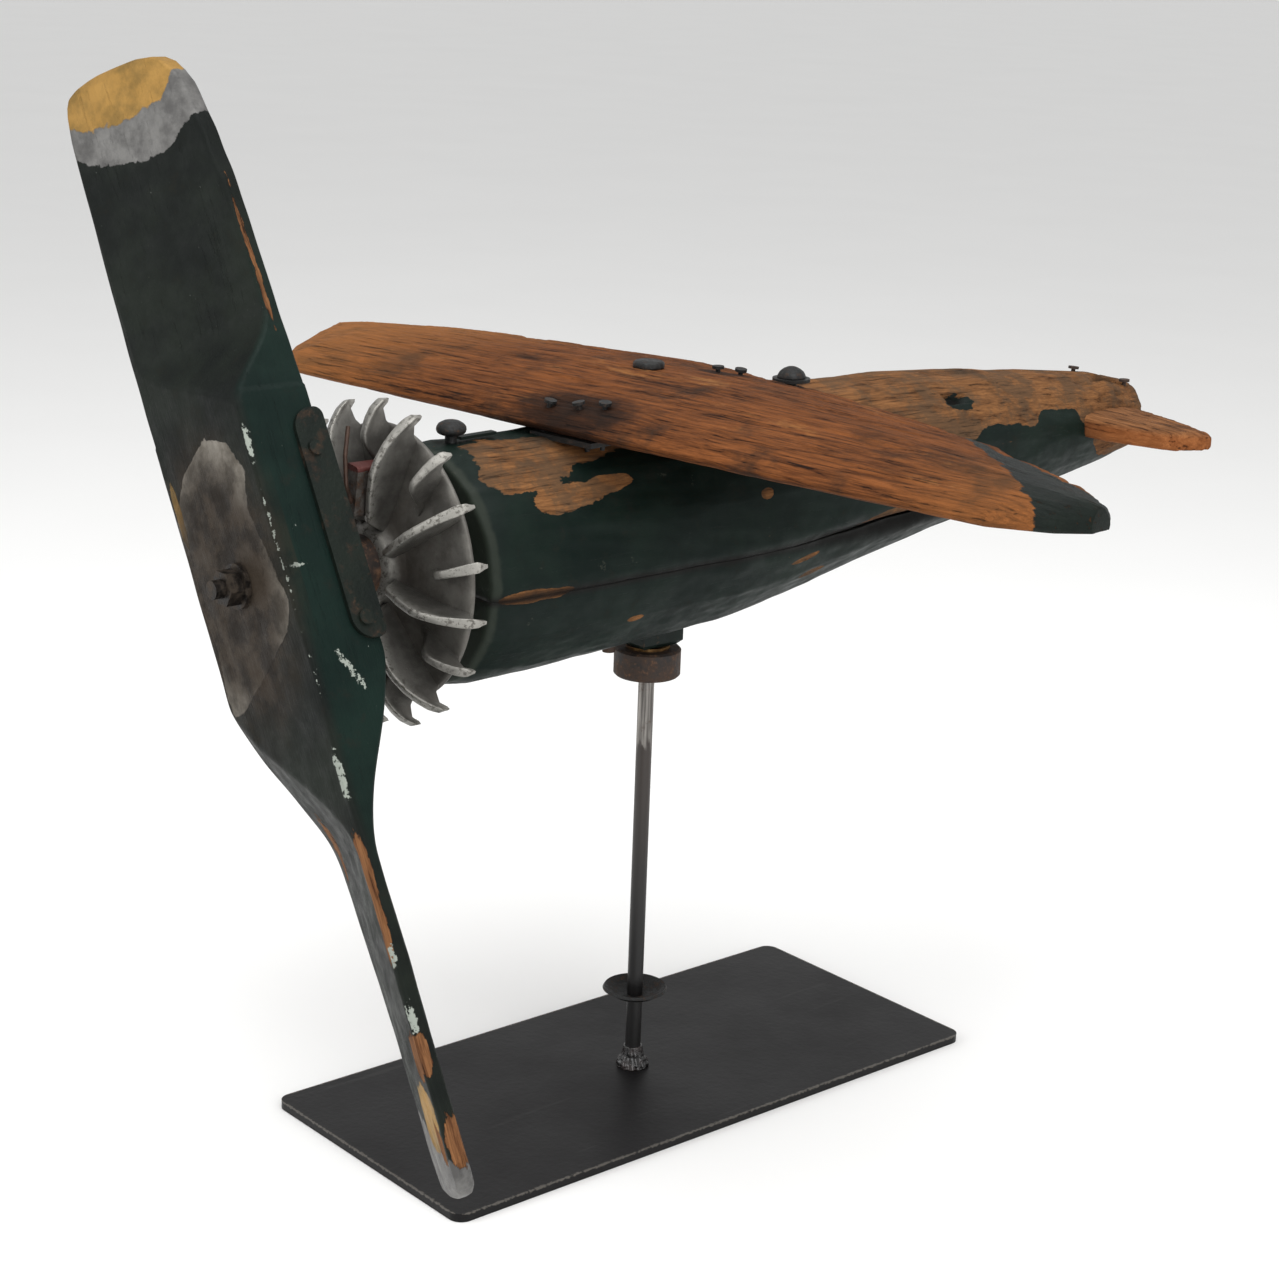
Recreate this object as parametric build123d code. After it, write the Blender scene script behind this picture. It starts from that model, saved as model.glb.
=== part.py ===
"""Folk-art wooden whirligig aeroplane on a welded steel display stand.

Millimetres, +Z up. The origin is on the post's axis, on the underside of the base plate.
The nose points to -Y, the port wing to +X and the tail to +Y.
The aeroplane turns about the post, and the propeller, its strap and the fan wheel turn
together on one axle that runs in two bushes in the nose.
"""
from build123d import *
import os
from math import cos, pi, radians, sin

# ---------------------------------------------------------------- driving dimensions
# Stand
plate_width = 180.0
plate_length = 400.0
plate_thickness = 5.0
plate_corner_radius = 8.0
rod_diameter = 9.5
weld_foot_diameter = 20.5
weld_height = 14.0
disc_diameter = 39.5
disc_height = 50.5
disc_dish = 5.5
sheet_thickness = 1.6
collar_diameter = 39.5
collar_height = 17.0
set_screw_diameter = 6.0
thrust_washer_diameter = 26.0
thrust_washer_thickness = 1.6

# Fits
running_clearance = 0.05
end_play = 0.4

# Propeller, carved from one squared block
blade_ground_clearance = 18.0
lower_blade_length = 327.0
upper_blade_length = 290.0
block_width = 90.0
block_depth = 45.0
hub_above_axle = 84.0
hub_below_axle = 50.0
upper_carve_length = 70.0
lower_carve_length = 112.0
blade_edge_thickness = 7.5
upper_tip_width = 69.0
upper_tip_slant = 6.0
lower_tip_width = 59.0
lower_waist_width = 67.0
lower_waist_reach = 240.0
upper_tip_radius = 17.0
lower_tip_radius = 14.0
arris_width = 1.2
propeller_angle = -30.0

# Strap on the back of the propeller block
strap_thickness = 2.5
strap_flange = 16.0
strap_end_radius = 12.0
strap_back_radius = 5.0
strap_web_inset = 7.0
strap_length = 124.0
strap_middle = 14.0
strap_screw_spacing = 91.0
strap_screw_middle = 8.5
strap_screw_diameter = 3.8
strap_screw_length = 16.0
strap_screw_head_diameter = 8.0
strap_screw_head_height = 1.6

# Axle line
axle_diameter = 10.0
axle_nut_across_flats = 17.0
axle_nut_thickness = 8.0
axle_washer_diameter = 24.0
axle_washer_thickness = 2.5
axle_stub = 6.0
bush_wall = 3.0
bush_flange_diameter = 32.0
bush_flange_thickness = 3.0
front_bush_length = 40.0
rear_bush_length = 25.0
bush_gap = 30.0
axle_hole_clearance = 1.0
axle_collar_diameter = 18.0
axle_collar_width = 8.0
collar_pocket_diameter = 28.0
collar_pocket_length = 16.0
cotter_diameter = 2.4
spacer_diameter = 24.0
spacer_length = 15.3

# Fan wheel
wheel_tip_diameter = 177.0
wheel_rim_diameter = 150.0
wheel_plate_thickness = 4.0
wheel_cone_drop = 7.0
wheel_boss_diameter = 46.0
iron_hub_diameter = 34.0
iron_hub_length = 48.0
wheel_plate_setback = 10.0
vane_pairs = 9
vane_thickness = 3.4
vane_height = 21.0
vane_tip_lip = 6.0
vane_first_angle = -9.0
short_vane_start = 52.0
magnet_angle = 82.0
magnet_radius = 44.0
magnet_length = 28.0
magnet_width = 11.0
magnet_height = 25.0
lead_diameter = 2.4

# Fuselage, two planks glued one on the other and carved round
fuselage_length = 577.0
fuselage_diameter = 134.0
nose_setback = 165.0
nose_drop = 5.5
seam_drop = 12.0
facet_count = 16
post_bore_top = 31.0
pivot_tube_wall = 1.6
pivot_tube_end = 3.0
belly_boss_width = 28.0
belly_boss_length = 30.0
belly_boss_inset = 3.0

# Wing, one plank, set a little skew
wing_span = 618.0
wing_chord = 202.0
wing_thickness = 27.0
wing_yaw = 7.0
wing_port_shift = 29.0
wing_lead = 98.0
wing_seat_cut = 2.6
wing_bolt_diameter = 7.0
wing_front_bolt_length = 48.0
wing_rear_bolt_length = 62.0
shim_thickness = 3.0
shim_width = 24.0
shim_length = 46.0
shim_along = 14.0
shim_inset = 16.5

# Tailplane, let into a slot in the tail
tail_board_thickness = 16.0
tail_board_reach = 112.0
tail_board_stump = 26.0
tail_board_chord = 62.0
tail_board_setback = 338.0
fin_slot_width = 7.0
fin_slot_length = 22.0
fin_slot_depth = 9.0

# Nails and small fasteners
nail_diameter = 2.8
wing_nail_length = 24.0
nail_head_diameter = 7.0
nail_head_thickness = 1.6
nose_bolt_diameter = 6.4
nose_bolt_head_diameter = 17.5
nose_bolt_head_height = 7.5
nose_bolt_length = 36.0
belly_screw_head_diameter = 7.5
belly_screw_head_height = 6.0
belly_screw_bite = 11.0

# ---------------------------------------------------------------- derived places
rod_radius = rod_diameter / 2
axle_radius = axle_diameter / 2
axle_height = plate_thickness + blade_ground_clearance + lower_blade_length
nose_y = -nose_setback
nose_centre = axle_height - nose_drop
seam_height = axle_height - seam_drop
bush_radius = axle_radius + running_clearance + bush_wall

# The axle stack, from the nose forwards
bush_face = nose_y - bush_flange_thickness
spacer_back = bush_face - end_play
iron_hub_back = spacer_back - spacer_length
iron_hub_front = iron_hub_back - iron_hub_length
block_back = iron_hub_front - strap_thickness
block_front = block_back - block_depth
axle_washer_front = block_front - axle_washer_thickness
axle_nut_front = axle_washer_front - axle_nut_thickness
axle_front = axle_nut_front - axle_stub
rear_bush_back = nose_y + front_bush_length + bush_gap + rear_bush_length
axle_collar_front = rear_bush_back + end_play
axle_collar_back = axle_collar_front + axle_collar_width
axle_back = axle_collar_back + 3.5


def blend(value, pairs):
    """Straight-line interpolation through (place, amount) pairs."""
    for (low, first), (high, second) in zip(pairs, pairs[1:]):
        if value <= high:
            return first + (second - first) * (value - low) / (high - low)
    return pairs[-1][1]


# Shares of the fuselage's length, with the rise of its centre and its share of full radius
fuselage_rise = (
    (0.0, 0.0), (0.12, 0.0), (0.286, 3.8), (0.459, 13.5), (0.598, 21.0), (0.8, 25.2), (1.0, 26.7)
)
fuselage_girth = (
    (0.0, 0.95), (0.02, 1.0), (0.286, 0.99), (0.459, 0.915), (0.598, 0.805), (0.8, 0.61), (1.0, 0.37)
)


def fuselage_centre(y):
    """Height of the fuselage's centre line at a place along it."""
    return nose_centre + blend((y - nose_y) / fuselage_length, fuselage_rise)


def fuselage_radius(y):
    """Radius of the fuselage at a place along it."""
    return fuselage_diameter / 2 * blend((y - nose_y) / fuselage_length, fuselage_girth)


tail_y = nose_y + fuselage_length
belly_height = fuselage_centre(0) - fuselage_radius(0)
boss_top = belly_height + belly_boss_inset
boss_height = 10.0
boss_bottom = boss_top - boss_height
thrust_washer_top = boss_bottom - end_play
collar_top = thrust_washer_top - thrust_washer_thickness
collar_bottom = collar_top - collar_height
wing_bottom = fuselage_centre(0) + fuselage_radius(0) - wing_seat_cut
rod_top = wing_bottom - post_bore_top
tail_board_centre = fuselage_centre(tail_board_setback + tail_board_chord / 2) + 5.0


def cylinder_z(radius, low, high, x=0.0, y=0.0):
    """Upright cylinder between two heights."""
    return Pos(x, y, low) * Cylinder(radius, high - low, align=(Align.CENTER, Align.CENTER, Align.MIN))


def cylinder_y(radius, front, back, x=0.0, z=0.0):
    """Cylinder along Y between two places, on the axle's line unless moved off it."""
    return Pos(x, front, axle_height + z) * Rot(-90, 0, 0) * Cylinder(
        radius, back - front, align=(Align.CENTER, Align.CENTER, Align.MIN)
    )


def polygon_wire(points):
    """Closed wire through points."""
    return Wire.make_polygon([Vector(*p) for p in points], close=True)


def ruled(sections):
    """Solid with straight lines between matching corners of its sections."""
    return Solid.make_loft([polygon_wire(points) for points in sections], ruled=True)


def turned(profile):
    """Solid turned about Z from (radius, height) corners."""
    face = Face(polygon_wire([(radius, 0, height) for radius, height in profile]))
    return revolve(face, Axis.Z)


def group(solids):
    """Separate like pieces kept as one node."""
    return Compound(children=solids)


# ---------------------------------------------------------------- stand
def make_base_plate():
    """Flat steel plate with eased corners."""
    return extrude(RectangleRounded(plate_width, plate_length, plate_corner_radius), plate_thickness)


def make_post_rod():
    """Round bar standing on the plate and ending inside the fuselage, with an eased top."""
    rod = cylinder_z(rod_radius, plate_thickness, rod_top)
    return chamfer(rod.edges().sort_by(Axis.Z)[-1], 1.0)


def make_post_weld_bead():
    """Fillet weld round the foot of the rod, steeper towards its top."""
    foot = weld_foot_diameter / 2
    base = plate_thickness
    return turned(
        (
            (rod_radius, base),
            (foot, base),
            (foot - 1.2, base + 0.3 * weld_height),
            (rod_radius + 1.4, base + 0.65 * weld_height),
            (rod_radius + 0.5, base + weld_height),
            (rod_radius, base + weld_height),
        )
    )


def make_post_disc():
    """Dished sheet disc, pressed on the rod with its hollow side up."""
    rim = disc_diameter / 2
    t = sheet_thickness
    return turned(
        (
            (rod_radius, disc_height),
            (rod_radius + 3.0, disc_height),
            (rim * 0.72, disc_height + 0.38 * disc_dish),
            (rim, disc_height + disc_dish),
            (rim - 0.6 * t, disc_height + disc_dish + t),
            (rim * 0.68, disc_height + 0.38 * disc_dish + t),
            (rod_radius + 2.0, disc_height + t),
            (rod_radius, disc_height + t),
        )
    )


def make_collar_set_screw():
    """Headless screw, in from the starboard side, that grips the rod."""
    length = collar_diameter / 2 - rod_radius - 1.0
    screw = Cylinder(set_screw_diameter / 2, length, align=(Align.CENTER, Align.CENTER, Align.MIN))
    socket = Pos(0, 0, length - 3.0) * extrude(RegularPolygon(1.7, 6), 3.0)
    middle = collar_bottom + collar_height / 2
    return Pos(-rod_radius, 0, middle) * Rot(0, -90, 0) * (screw - socket)


def make_pivot_collar():
    """Thick shaft collar under the fuselage."""
    collar = cylinder_z(collar_diameter / 2, collar_bottom, collar_top)
    collar = chamfer(collar.edges(), 1.2)
    collar -= cylinder_z(rod_radius, collar_bottom - 1, collar_top + 1)
    middle = collar_bottom + collar_height / 2
    hole = Cylinder(set_screw_diameter / 2, collar_diameter, align=(Align.CENTER, Align.CENTER, Align.MIN))
    return collar - Pos(0, 0, middle) * Rot(0, -90, 0) * hole


def make_thrust_washer():
    """Bronze washer on the collar, which the belly boss runs on."""
    washer = cylinder_z(thrust_washer_diameter / 2, collar_top, thrust_washer_top)
    return washer - cylinder_z(rod_radius, collar_top - 1, thrust_washer_top + 1)


# ---------------------------------------------------------------- fasteners and inner fittings
def wing_place(along, across):
    """Point on the plan from the wing's own span and chord directions."""
    angle = radians(wing_yaw)
    return along * cos(angle) - across * sin(angle), along * sin(angle) + across * cos(angle)


# Stations from the starboard end to the port tip: share of span, start and end of the
# chord as shares of full chord, share of full thickness, and rise of the underside
wing_stations = (
    (0.0, 0.46, 0.59, 0.42, 3.0),
    (0.02, 0.33, 0.73, 0.5, 3.0),
    (0.057, 0.16, 0.84, 0.6, 2.5),
    (0.105, 0.0, 0.9, 0.72, 2.0),
    (0.383, 0.0, 1.0, 1.0, 0.0),
    (0.558, 0.0, 0.91, 1.0, 0.0),
    (0.788, 0.0, 0.69, 0.82, 1.0),
    (0.929, 0.0, 0.45, 0.62, 2.5),
    (0.979, 0.07, 0.32, 0.54, 3.0),
    (1.0, 0.15, 0.23, 0.47, 3.0),
)
# Outline of the wing's section: shares of the local chord and of the local thickness
wing_crown = (
    (0.0, 0.3), (0.04, 0.5), (0.12, 0.7), (0.25, 0.88), (0.42, 1.0),
    (0.6, 0.92), (0.8, 0.7), (0.95, 0.48), (1.0, 0.36),
)
wing_keel = ((1.0, 0.1), (0.97, 0.0), (0.03, 0.0), (0.0, 0.12))


def wing_top(along, across):
    """Height of the wing's top at a place given in its own directions."""
    share = (along - wing_port_shift) / wing_span + 0.5
    start, end, thick, rise = [
        blend(share, [(station[0], station[k]) for station in wing_stations]) for k in (1, 2, 3, 4)
    ]
    chord_share = ((across + wing_lead) / wing_chord - start) / (end - start)
    return wing_bottom + rise + wing_thickness * thick * blend(chord_share, wing_crown)


def nail(head_height, length, place, lean=0.0, towards=0.0):
    """Round nail with a flat head, its head's underside at a height above its place."""
    shank = cylinder_z(nail_diameter / 2, -length, head_height)
    head = cylinder_z(nail_head_diameter / 2, head_height, head_height + nail_head_thickness)
    return Pos(*place) * Rot(0, 0, towards) * Rot(0, lean, 0) * (shank + head)


def make_nose_bolt():
    """Mushroom-headed bolt in the top of the nose, not driven home."""
    y = nose_y + 19.0
    top = fuselage_centre(y) + fuselage_radius(y)
    r = nose_bolt_head_diameter / 2
    head_base = 4.0
    head = turned(
        (
            (0.0, 0.0),
            (r - 2.0, 0.0),
            (r, 2.0),
            (r - 0.8, 4.4),
            (r - 4.0, nose_bolt_head_height - 0.8),
            (0.0, nose_bolt_head_height),
        )
    )
    shank = cylinder_z(nose_bolt_diameter / 2, head_base - nose_bolt_length, head_base)
    return Pos(0, y, top) * (shank + Pos(0, 0, head_base) * head)


def make_nose_nail():
    """Flat tang that lies back along the ridge from under the nose bolt."""
    y = nose_y + 24.0
    top = fuselage_centre(y) + fuselage_radius(y)
    tang = Box(5.0, 24.0, sheet_thickness, align=(Align.CENTER, Align.MIN, Align.MIN))
    return Pos(0, y, top + 0.2) * Rot(1.5, 0, 0) * tang


def make_wing_front_bolt():
    """Squat round-headed bolt through the wing's crown."""
    along, across = -3.0, -5.0
    x, y = wing_place(along, across)
    top = wing_top(along, across)
    head = chamfer(cylinder_z(9.5, -0.8, 4.8).edges().sort_by(Axis.Z)[-1], 1.2)
    shank = cylinder_z(wing_bolt_diameter / 2, -wing_front_bolt_length, 0.0)
    return Pos(x, y, top) * (head + shank)


def make_wing_rear_washer():
    """Loose leaning washer under the rear bolt's head."""
    along, across = 42.0, 69.0
    x, y = wing_place(along, across)
    ring = cylinder_z(11.0, 0.6, 2.4) - cylinder_z(wing_bolt_diameter / 2, 0, 3)
    return Pos(x, y, wing_top(along, across) + 1.2) * ring


def make_wing_rear_bolt():
    """Domed bolt behind the crown, standing proud on its washer."""
    along, across = 42.0, 69.0
    x, y = wing_place(along, across)
    dome = turned(((0.0, 0.0), (8.6, 0.0), (8.8, 1.8), (7.4, 4.6), (4.0, 6.6), (0.0, 7.2)))
    shank = cylinder_z(wing_bolt_diameter / 2, -wing_rear_bolt_length, 3.6)
    return Pos(x, y, wing_top(along, across)) * (Pos(0, 0, 3.6) * dome + shank)


def make_wing_nails():
    """Three nails by the leading edge and two on the crown, all but one leaning."""
    places = (
        (0.0, -88.0, 2.2, 12.0, 20.0),
        (20.0, -85.0, 2.6, -12.0, 60.0),
        (34.0, -80.0, 2.2, 10.0, -30.0),
        (15.0, 35.0, 2.0, 0.0, 0.0),
        (21.0, 48.0, 2.0, 8.0, 0.0),
    )
    nails = []
    for along, across, proud, lean, towards in places:
        x, y = wing_place(along, across)
        nails.append(nail(proud, wing_nail_length, (x, y, wing_top(along, across)), lean, towards))
    return group(nails)


def make_tail_nails():
    """One nail standing up at the end of the tail and one half driven in its ridge."""
    ridge_y = tail_y - 42.0
    ridge = fuselage_centre(ridge_y) + fuselage_radius(ridge_y)
    standing = nail(12.0, 14.0, (14.0, tail_y - 10.0, tail_board_centre + tail_board_thickness / 2))
    return group([standing, nail(3.0, 30.0, (-4.0, ridge_y, ridge), 6.0, 90.0)])


def make_belly_screw():
    """Screw up through the lower plank, just in front of the boss."""
    y = -belly_boss_length / 2 - 15.0
    bottom = fuselage_centre(y) - fuselage_radius(y)
    r = belly_screw_head_diameter / 2
    head = cylinder_z(r, -belly_screw_head_height, 0.6)
    shank = cylinder_z(nail_diameter / 2, 0.6, seam_height - bottom + belly_screw_bite)
    return Pos(0, y, bottom) * (head + shank)


def make_pivot_tube():
    """Sleeve with a closed top, pressed into the boss and both planks."""
    bore = rod_radius + running_clearance
    top = rod_top + pivot_tube_end + 2.0
    tube = cylinder_z(bore + pivot_tube_wall, boss_bottom, top)
    return tube - cylinder_z(bore, boss_bottom - 1, rod_top + 2.0)


def make_front_bush():
    """Flanged bronze bush in the nose."""
    bush = cylinder_y(bush_radius, nose_y, nose_y + front_bush_length)
    bush += cylinder_y(bush_flange_diameter / 2, bush_face, nose_y)
    return bush - cylinder_y(axle_radius + running_clearance, bush_face - 1, nose_y + front_bush_length + 1)


def make_rear_bush():
    """Plain bronze bush at the inner end of the axle."""
    front = rear_bush_back - rear_bush_length
    bush = cylinder_y(bush_radius, front, rear_bush_back)
    return bush - cylinder_y(axle_radius + running_clearance, front - 1, rear_bush_back + 1)


# ---------------------------------------------------------------- wooden pieces
def make_belly_boss():
    """Hardwood pad let into the belly, with its lower edges chamfered."""
    middle_low = (Align.CENTER, Align.CENTER, Align.MIN)
    pad = Box(belly_boss_width, belly_boss_length, boss_height, align=middle_low)
    pad = chamfer(pad.faces().sort_by(Axis.Z)[0].edges(), 3.0)
    pad = Pos(0, 0, boss_bottom) * pad
    return pad - cylinder_z(rod_radius + running_clearance + pivot_tube_wall, boss_bottom - 1, boss_top + 1)


def make_tailplane():
    """Weathered board: full on the port side, broken off short on the starboard side."""
    front = tail_board_setback
    back = tail_board_setback + tail_board_chord
    reach = tail_board_reach
    outline = (
        (-tail_board_stump, front),
        (0.6 * reach, front),
        (0.83 * reach, front + 0.11 * tail_board_chord),
        (0.97 * reach, front + 0.32 * tail_board_chord),
        (reach, front + 0.5 * tail_board_chord),
        (0.93 * reach, front + 0.66 * tail_board_chord),
        (0.7 * reach, front + 0.83 * tail_board_chord),
        (0.4 * reach, back - 3.0),
        (-tail_board_stump, back),
    )
    low = tail_board_centre - tail_board_thickness / 2
    flat = Face(polygon_wire([(x, y, low) for x, y in outline]))
    board = extrude(flat, tail_board_thickness, dir=(0, 0, 1))
    return chamfer(board.edges().filter_by(Plane.XY), 2.0)


def make_wing_shim():
    """Thin steel packer under the front of the wing, let into the fuselage's ridge."""
    x, y = wing_place(shim_along, -wing_lead + shim_inset)
    shim = Box(shim_length, shim_width, shim_thickness, align=(Align.CENTER, Align.CENTER, Align.MAX))
    return Pos(x, y, wing_bottom) * Rot(0, 0, wing_yaw) * shim


def make_wing(fasteners):
    """Carved plank with a flat underside and a crowned top."""
    sections = []
    for share, start, end, thick, rise in wing_stations:
        along = wing_port_shift + (share - 0.5) * wing_span
        first = wing_chord * start - wing_lead
        chord = wing_chord * (end - start)
        height = wing_thickness * thick
        outline = wing_crown + wing_keel
        sections.append([(along, first + chord * s, rise + height * h) for s, h in outline])
    wing = Pos(0, 0, wing_bottom) * Rot(0, 0, wing_yaw) * ruled(sections)
    for piece in fasteners:
        wing -= piece
    return wing


def carved_fuselage():
    """The whole fuselage before it is bored: a many-sided spindle."""
    sections = []
    places = [nose_y + share * fuselage_length for share, girth in fuselage_girth]
    for y in places:
        centre = fuselage_centre(y)
        radius = fuselage_radius(y)
        angles = [2 * pi * (k + 0.5) / facet_count for k in range(facet_count)]
        sections.append([(radius * cos(a), y, centre + radius * sin(a)) for a in angles])
    return ruled(sections)


def bored_fuselage(fittings):
    """The fuselage with its seats, slots and bores, before it is parted at the glue line."""
    body = carved_fuselage()
    reach = 2 * fuselage_diameter
    flat = Box(reach, wing_span, reach, align=(Align.CENTER, Align.CENTER, Align.MIN))
    seat_middle = wing_chord / 2 - wing_lead + 8.0
    seat = Pos(0, seat_middle, 0) * Box(reach, wing_chord + 90.0, 4 * reach)
    body -= Pos(0, 0, wing_bottom) * flat & seat
    middle_high = (Align.CENTER, Align.CENTER, Align.MAX)
    pad = Box(belly_boss_width, belly_boss_length, boss_height, align=middle_high)
    body -= Pos(0, 0, boss_top) * pad
    body -= cylinder_y(axle_radius + axle_hole_clearance, nose_y - 1, rear_bush_back)
    body -= cylinder_y(collar_pocket_diameter / 2, rear_bush_back, rear_bush_back + collar_pocket_length)
    slot_front = tail_board_setback
    slot = Box(reach, fuselage_length, tail_board_thickness, align=(Align.CENTER, Align.MIN, Align.CENTER))
    body -= Pos(0, slot_front, tail_board_centre) * slot
    ridge_y = tail_y - 24.0
    ridge = fuselage_centre(ridge_y) + fuselage_radius(ridge_y)
    fin_slot = Box(fin_slot_width, fin_slot_length, 2 * fin_slot_depth)
    body -= Pos(9.0, ridge_y, ridge) * fin_slot
    for piece in fittings:
        body -= piece
    return body


def part_at_seam(body):
    """Upper and lower planks of the fuselage."""
    reach = 3 * fuselage_length
    below = (Align.CENTER, Align.CENTER, Align.MAX)
    lower_space = Pos(0, 0, seam_height) * Box(reach, reach, reach, align=below)
    return body - lower_space, body & lower_space


# ---------------------------------------------------------------- rotor
def on_propeller(shape):
    """Moves a shape from the propeller's own frame (X across, Z along the upper blade)."""
    return Pos(0, 0, axle_height) * Rot(0, propeller_angle, 0) * shape


def propeller_section(s, upper_carve, lower_carve):
    """Squared block section with one pair of opposite corners carved off for each blade."""
    half = block_width / 2
    run = block_width - blade_edge_thickness
    rise = block_depth - blade_edge_thickness
    a = max(arris_width, upper_carve * run)
    b = max(arris_width, upper_carve * rise)
    c = max(arris_width, lower_carve * run)
    d = max(arris_width, lower_carve * rise)
    return [
        (-half + c, block_front, s),
        (half - a, block_front, s),
        (half, block_front + b, s),
        (half, block_back - d, s),
        (half - c, block_back, s),
        (-half + a, block_back, s),
        (-half, block_back - b, s),
        (-half, block_front + d, s),
    ]


def make_propeller(fittings):
    """Two-bladed propeller: a squared hub that runs out into two opposite-handed slabs."""
    upper_end = hub_above_axle + upper_carve_length
    lower_end = -hub_below_axle - lower_carve_length
    stations = (
        (-lower_blade_length, 0.0, 1.0),
        (lower_end, 0.0, 1.0),
        (-hub_below_axle - 0.55 * lower_carve_length, 0.0, 0.62),
        (-hub_below_axle, 0.0, 0.0),
        (hub_above_axle, 0.0, 0.0),
        (hub_above_axle + 0.5 * upper_carve_length, 0.6, 0.0),
        (upper_end, 1.0, 0.0),
        (upper_blade_length, 1.0, 0.0),
    )
    blank = ruled([propeller_section(*station) for station in stations])
    half = block_width / 2
    lower_edge = half - 4.0
    outline = Polyline(
        (-upper_tip_width / 2 - 3.5, upper_blade_length),
        (upper_tip_width / 2 - 3.5, upper_blade_length - upper_tip_slant),
        (half, hub_above_axle),
        (half, -hub_below_axle),
        (lower_edge, -lower_blade_length),
        (lower_edge - lower_tip_width, -lower_blade_length),
        (half - lower_waist_width, -lower_waist_reach),
        (half - 83.0, lower_end),
        (-half, -hub_below_axle),
        (-half, hub_above_axle),
        close=True,
    )
    plan = make_face(outline)
    plan = fillet([v for v in plan.vertices() if v.Y > upper_end], upper_tip_radius)
    plan = fillet([v for v in plan.vertices() if v.Y < -lower_blade_length + 1], lower_tip_radius)
    face_plane = Plane((0, block_front - 1, 0), x_dir=(1, 0, 0), z_dir=(0, -1, 0))
    cutter = extrude(face_plane * plan, -block_depth - 2)
    propeller = on_propeller(blank & cutter)
    for piece in fittings:
        propeller -= piece
    return propeller


def strap_screw_places():
    """Middles of the strap's screws, in the propeller's frame, with the side each is on."""
    rows = (strap_screw_middle - strap_screw_spacing / 2, strap_screw_middle + strap_screw_spacing / 2)
    return [(side, block_back - strap_flange / 2, row) for side in (-1, 1) for row in rows]


def make_strap_screws():
    """Four round-headed wood screws, two on each side of the hub."""
    screws = []
    outside = block_width / 2 + strap_thickness
    for side, y, row in strap_screw_places():
        shank = cylinder_z(strap_screw_diameter / 2, -strap_screw_length, 0.0)
        head = cylinder_z(strap_screw_head_diameter / 2, 0.0, strap_screw_head_height)
        screws.append(on_propeller(Pos(side * outside, y, row) * Rot(0, 90 * side, 0) * (shank + head)))
    return group(screws)


def make_strap(screws):
    """Channel bent from flat bar: a web behind the hub and two flanges with rounded ends."""
    outside = block_width / 2 + strap_thickness
    web_place = Pos(0, block_back + strap_thickness / 2, strap_middle)
    web = web_place * Box(2 * outside, strap_thickness, strap_length - 2 * strap_web_inset)
    channel = web
    for side in (-1, 1):
        flange = Box(strap_thickness, strap_flange + strap_thickness, strap_length)
        flange = fillet(flange.edges().filter_by(Axis.X).group_by(Axis.Y)[0], strap_end_radius)
        flange = fillet(flange.edges().filter_by(Axis.X).group_by(Axis.Y)[-1], strap_back_radius)
        flange_middle = block_back - (strap_flange - strap_thickness) / 2
        place = Pos(side * (outside - strap_thickness / 2), flange_middle, strap_middle)
        channel += place * flange
    channel = on_propeller(channel) - cylinder_y(axle_radius, block_back - 1, iron_hub_front + 1)
    return channel - screws


def make_axle():
    """Plain round bar on the axle line."""
    bar = cylinder_y(axle_radius, axle_front, axle_back)
    return bar - make_axle_cotter()


def make_axle_nut():
    """Hexagon nut that holds the propeller on the axle."""
    across_corners = axle_nut_across_flats / cos(pi / 6)
    nut = extrude(RegularPolygon(across_corners / 2, 6), axle_nut_thickness)
    placed = Pos(0, axle_washer_front, axle_height) * Rot(90, 0, 0) * nut
    return placed - cylinder_y(axle_radius, axle_nut_front - 1, axle_washer_front + 1)


def make_axle_washer():
    """Flat washer between the nut and the wood."""
    washer = cylinder_y(axle_washer_diameter / 2, axle_washer_front, block_front)
    return washer - cylinder_y(axle_radius, axle_washer_front - 1, block_front + 1)


def make_iron_hub():
    """Rusty iron hub that the strap bears on and the fan wheel is cast round."""
    hub = cylinder_y(iron_hub_diameter / 2, iron_hub_front, iron_hub_back)
    hub = chamfer(hub.edges().sort_by(Axis.Y)[0], 2.0)
    return hub - cylinder_y(axle_radius, iron_hub_front - 1, iron_hub_back + 1)


def make_axle_spacer():
    """Tube that keeps the fan wheel off the nose."""
    tube = cylinder_y(spacer_diameter / 2, iron_hub_back, spacer_back)
    return tube - cylinder_y(axle_radius, iron_hub_back - 1, spacer_back + 1)


def make_axle_cotter():
    """Pin through the inner collar and the axle."""
    middle = (axle_collar_front + axle_collar_back) / 2
    half = axle_collar_diameter / 2 + 2.0
    return cylinder_z(cotter_diameter / 2, axle_height - half, axle_height + half, 0, middle)


def make_axle_collar():
    """Ring that stops the axle from drawing out of the nose."""
    ring = cylinder_y(axle_collar_diameter / 2, axle_collar_front, axle_collar_back)
    ring -= cylinder_y(axle_radius, axle_collar_front - 1, axle_collar_back + 1)
    return ring - make_axle_cotter()


def on_wheel(shape):
    """Moves a shape from the wheel's own frame: Z forwards from the plate's rim, Y up."""
    return Pos(0, iron_hub_back - wheel_plate_setback + wheel_cone_drop, axle_height) * Rot(90, 0, 0) * shape


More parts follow.
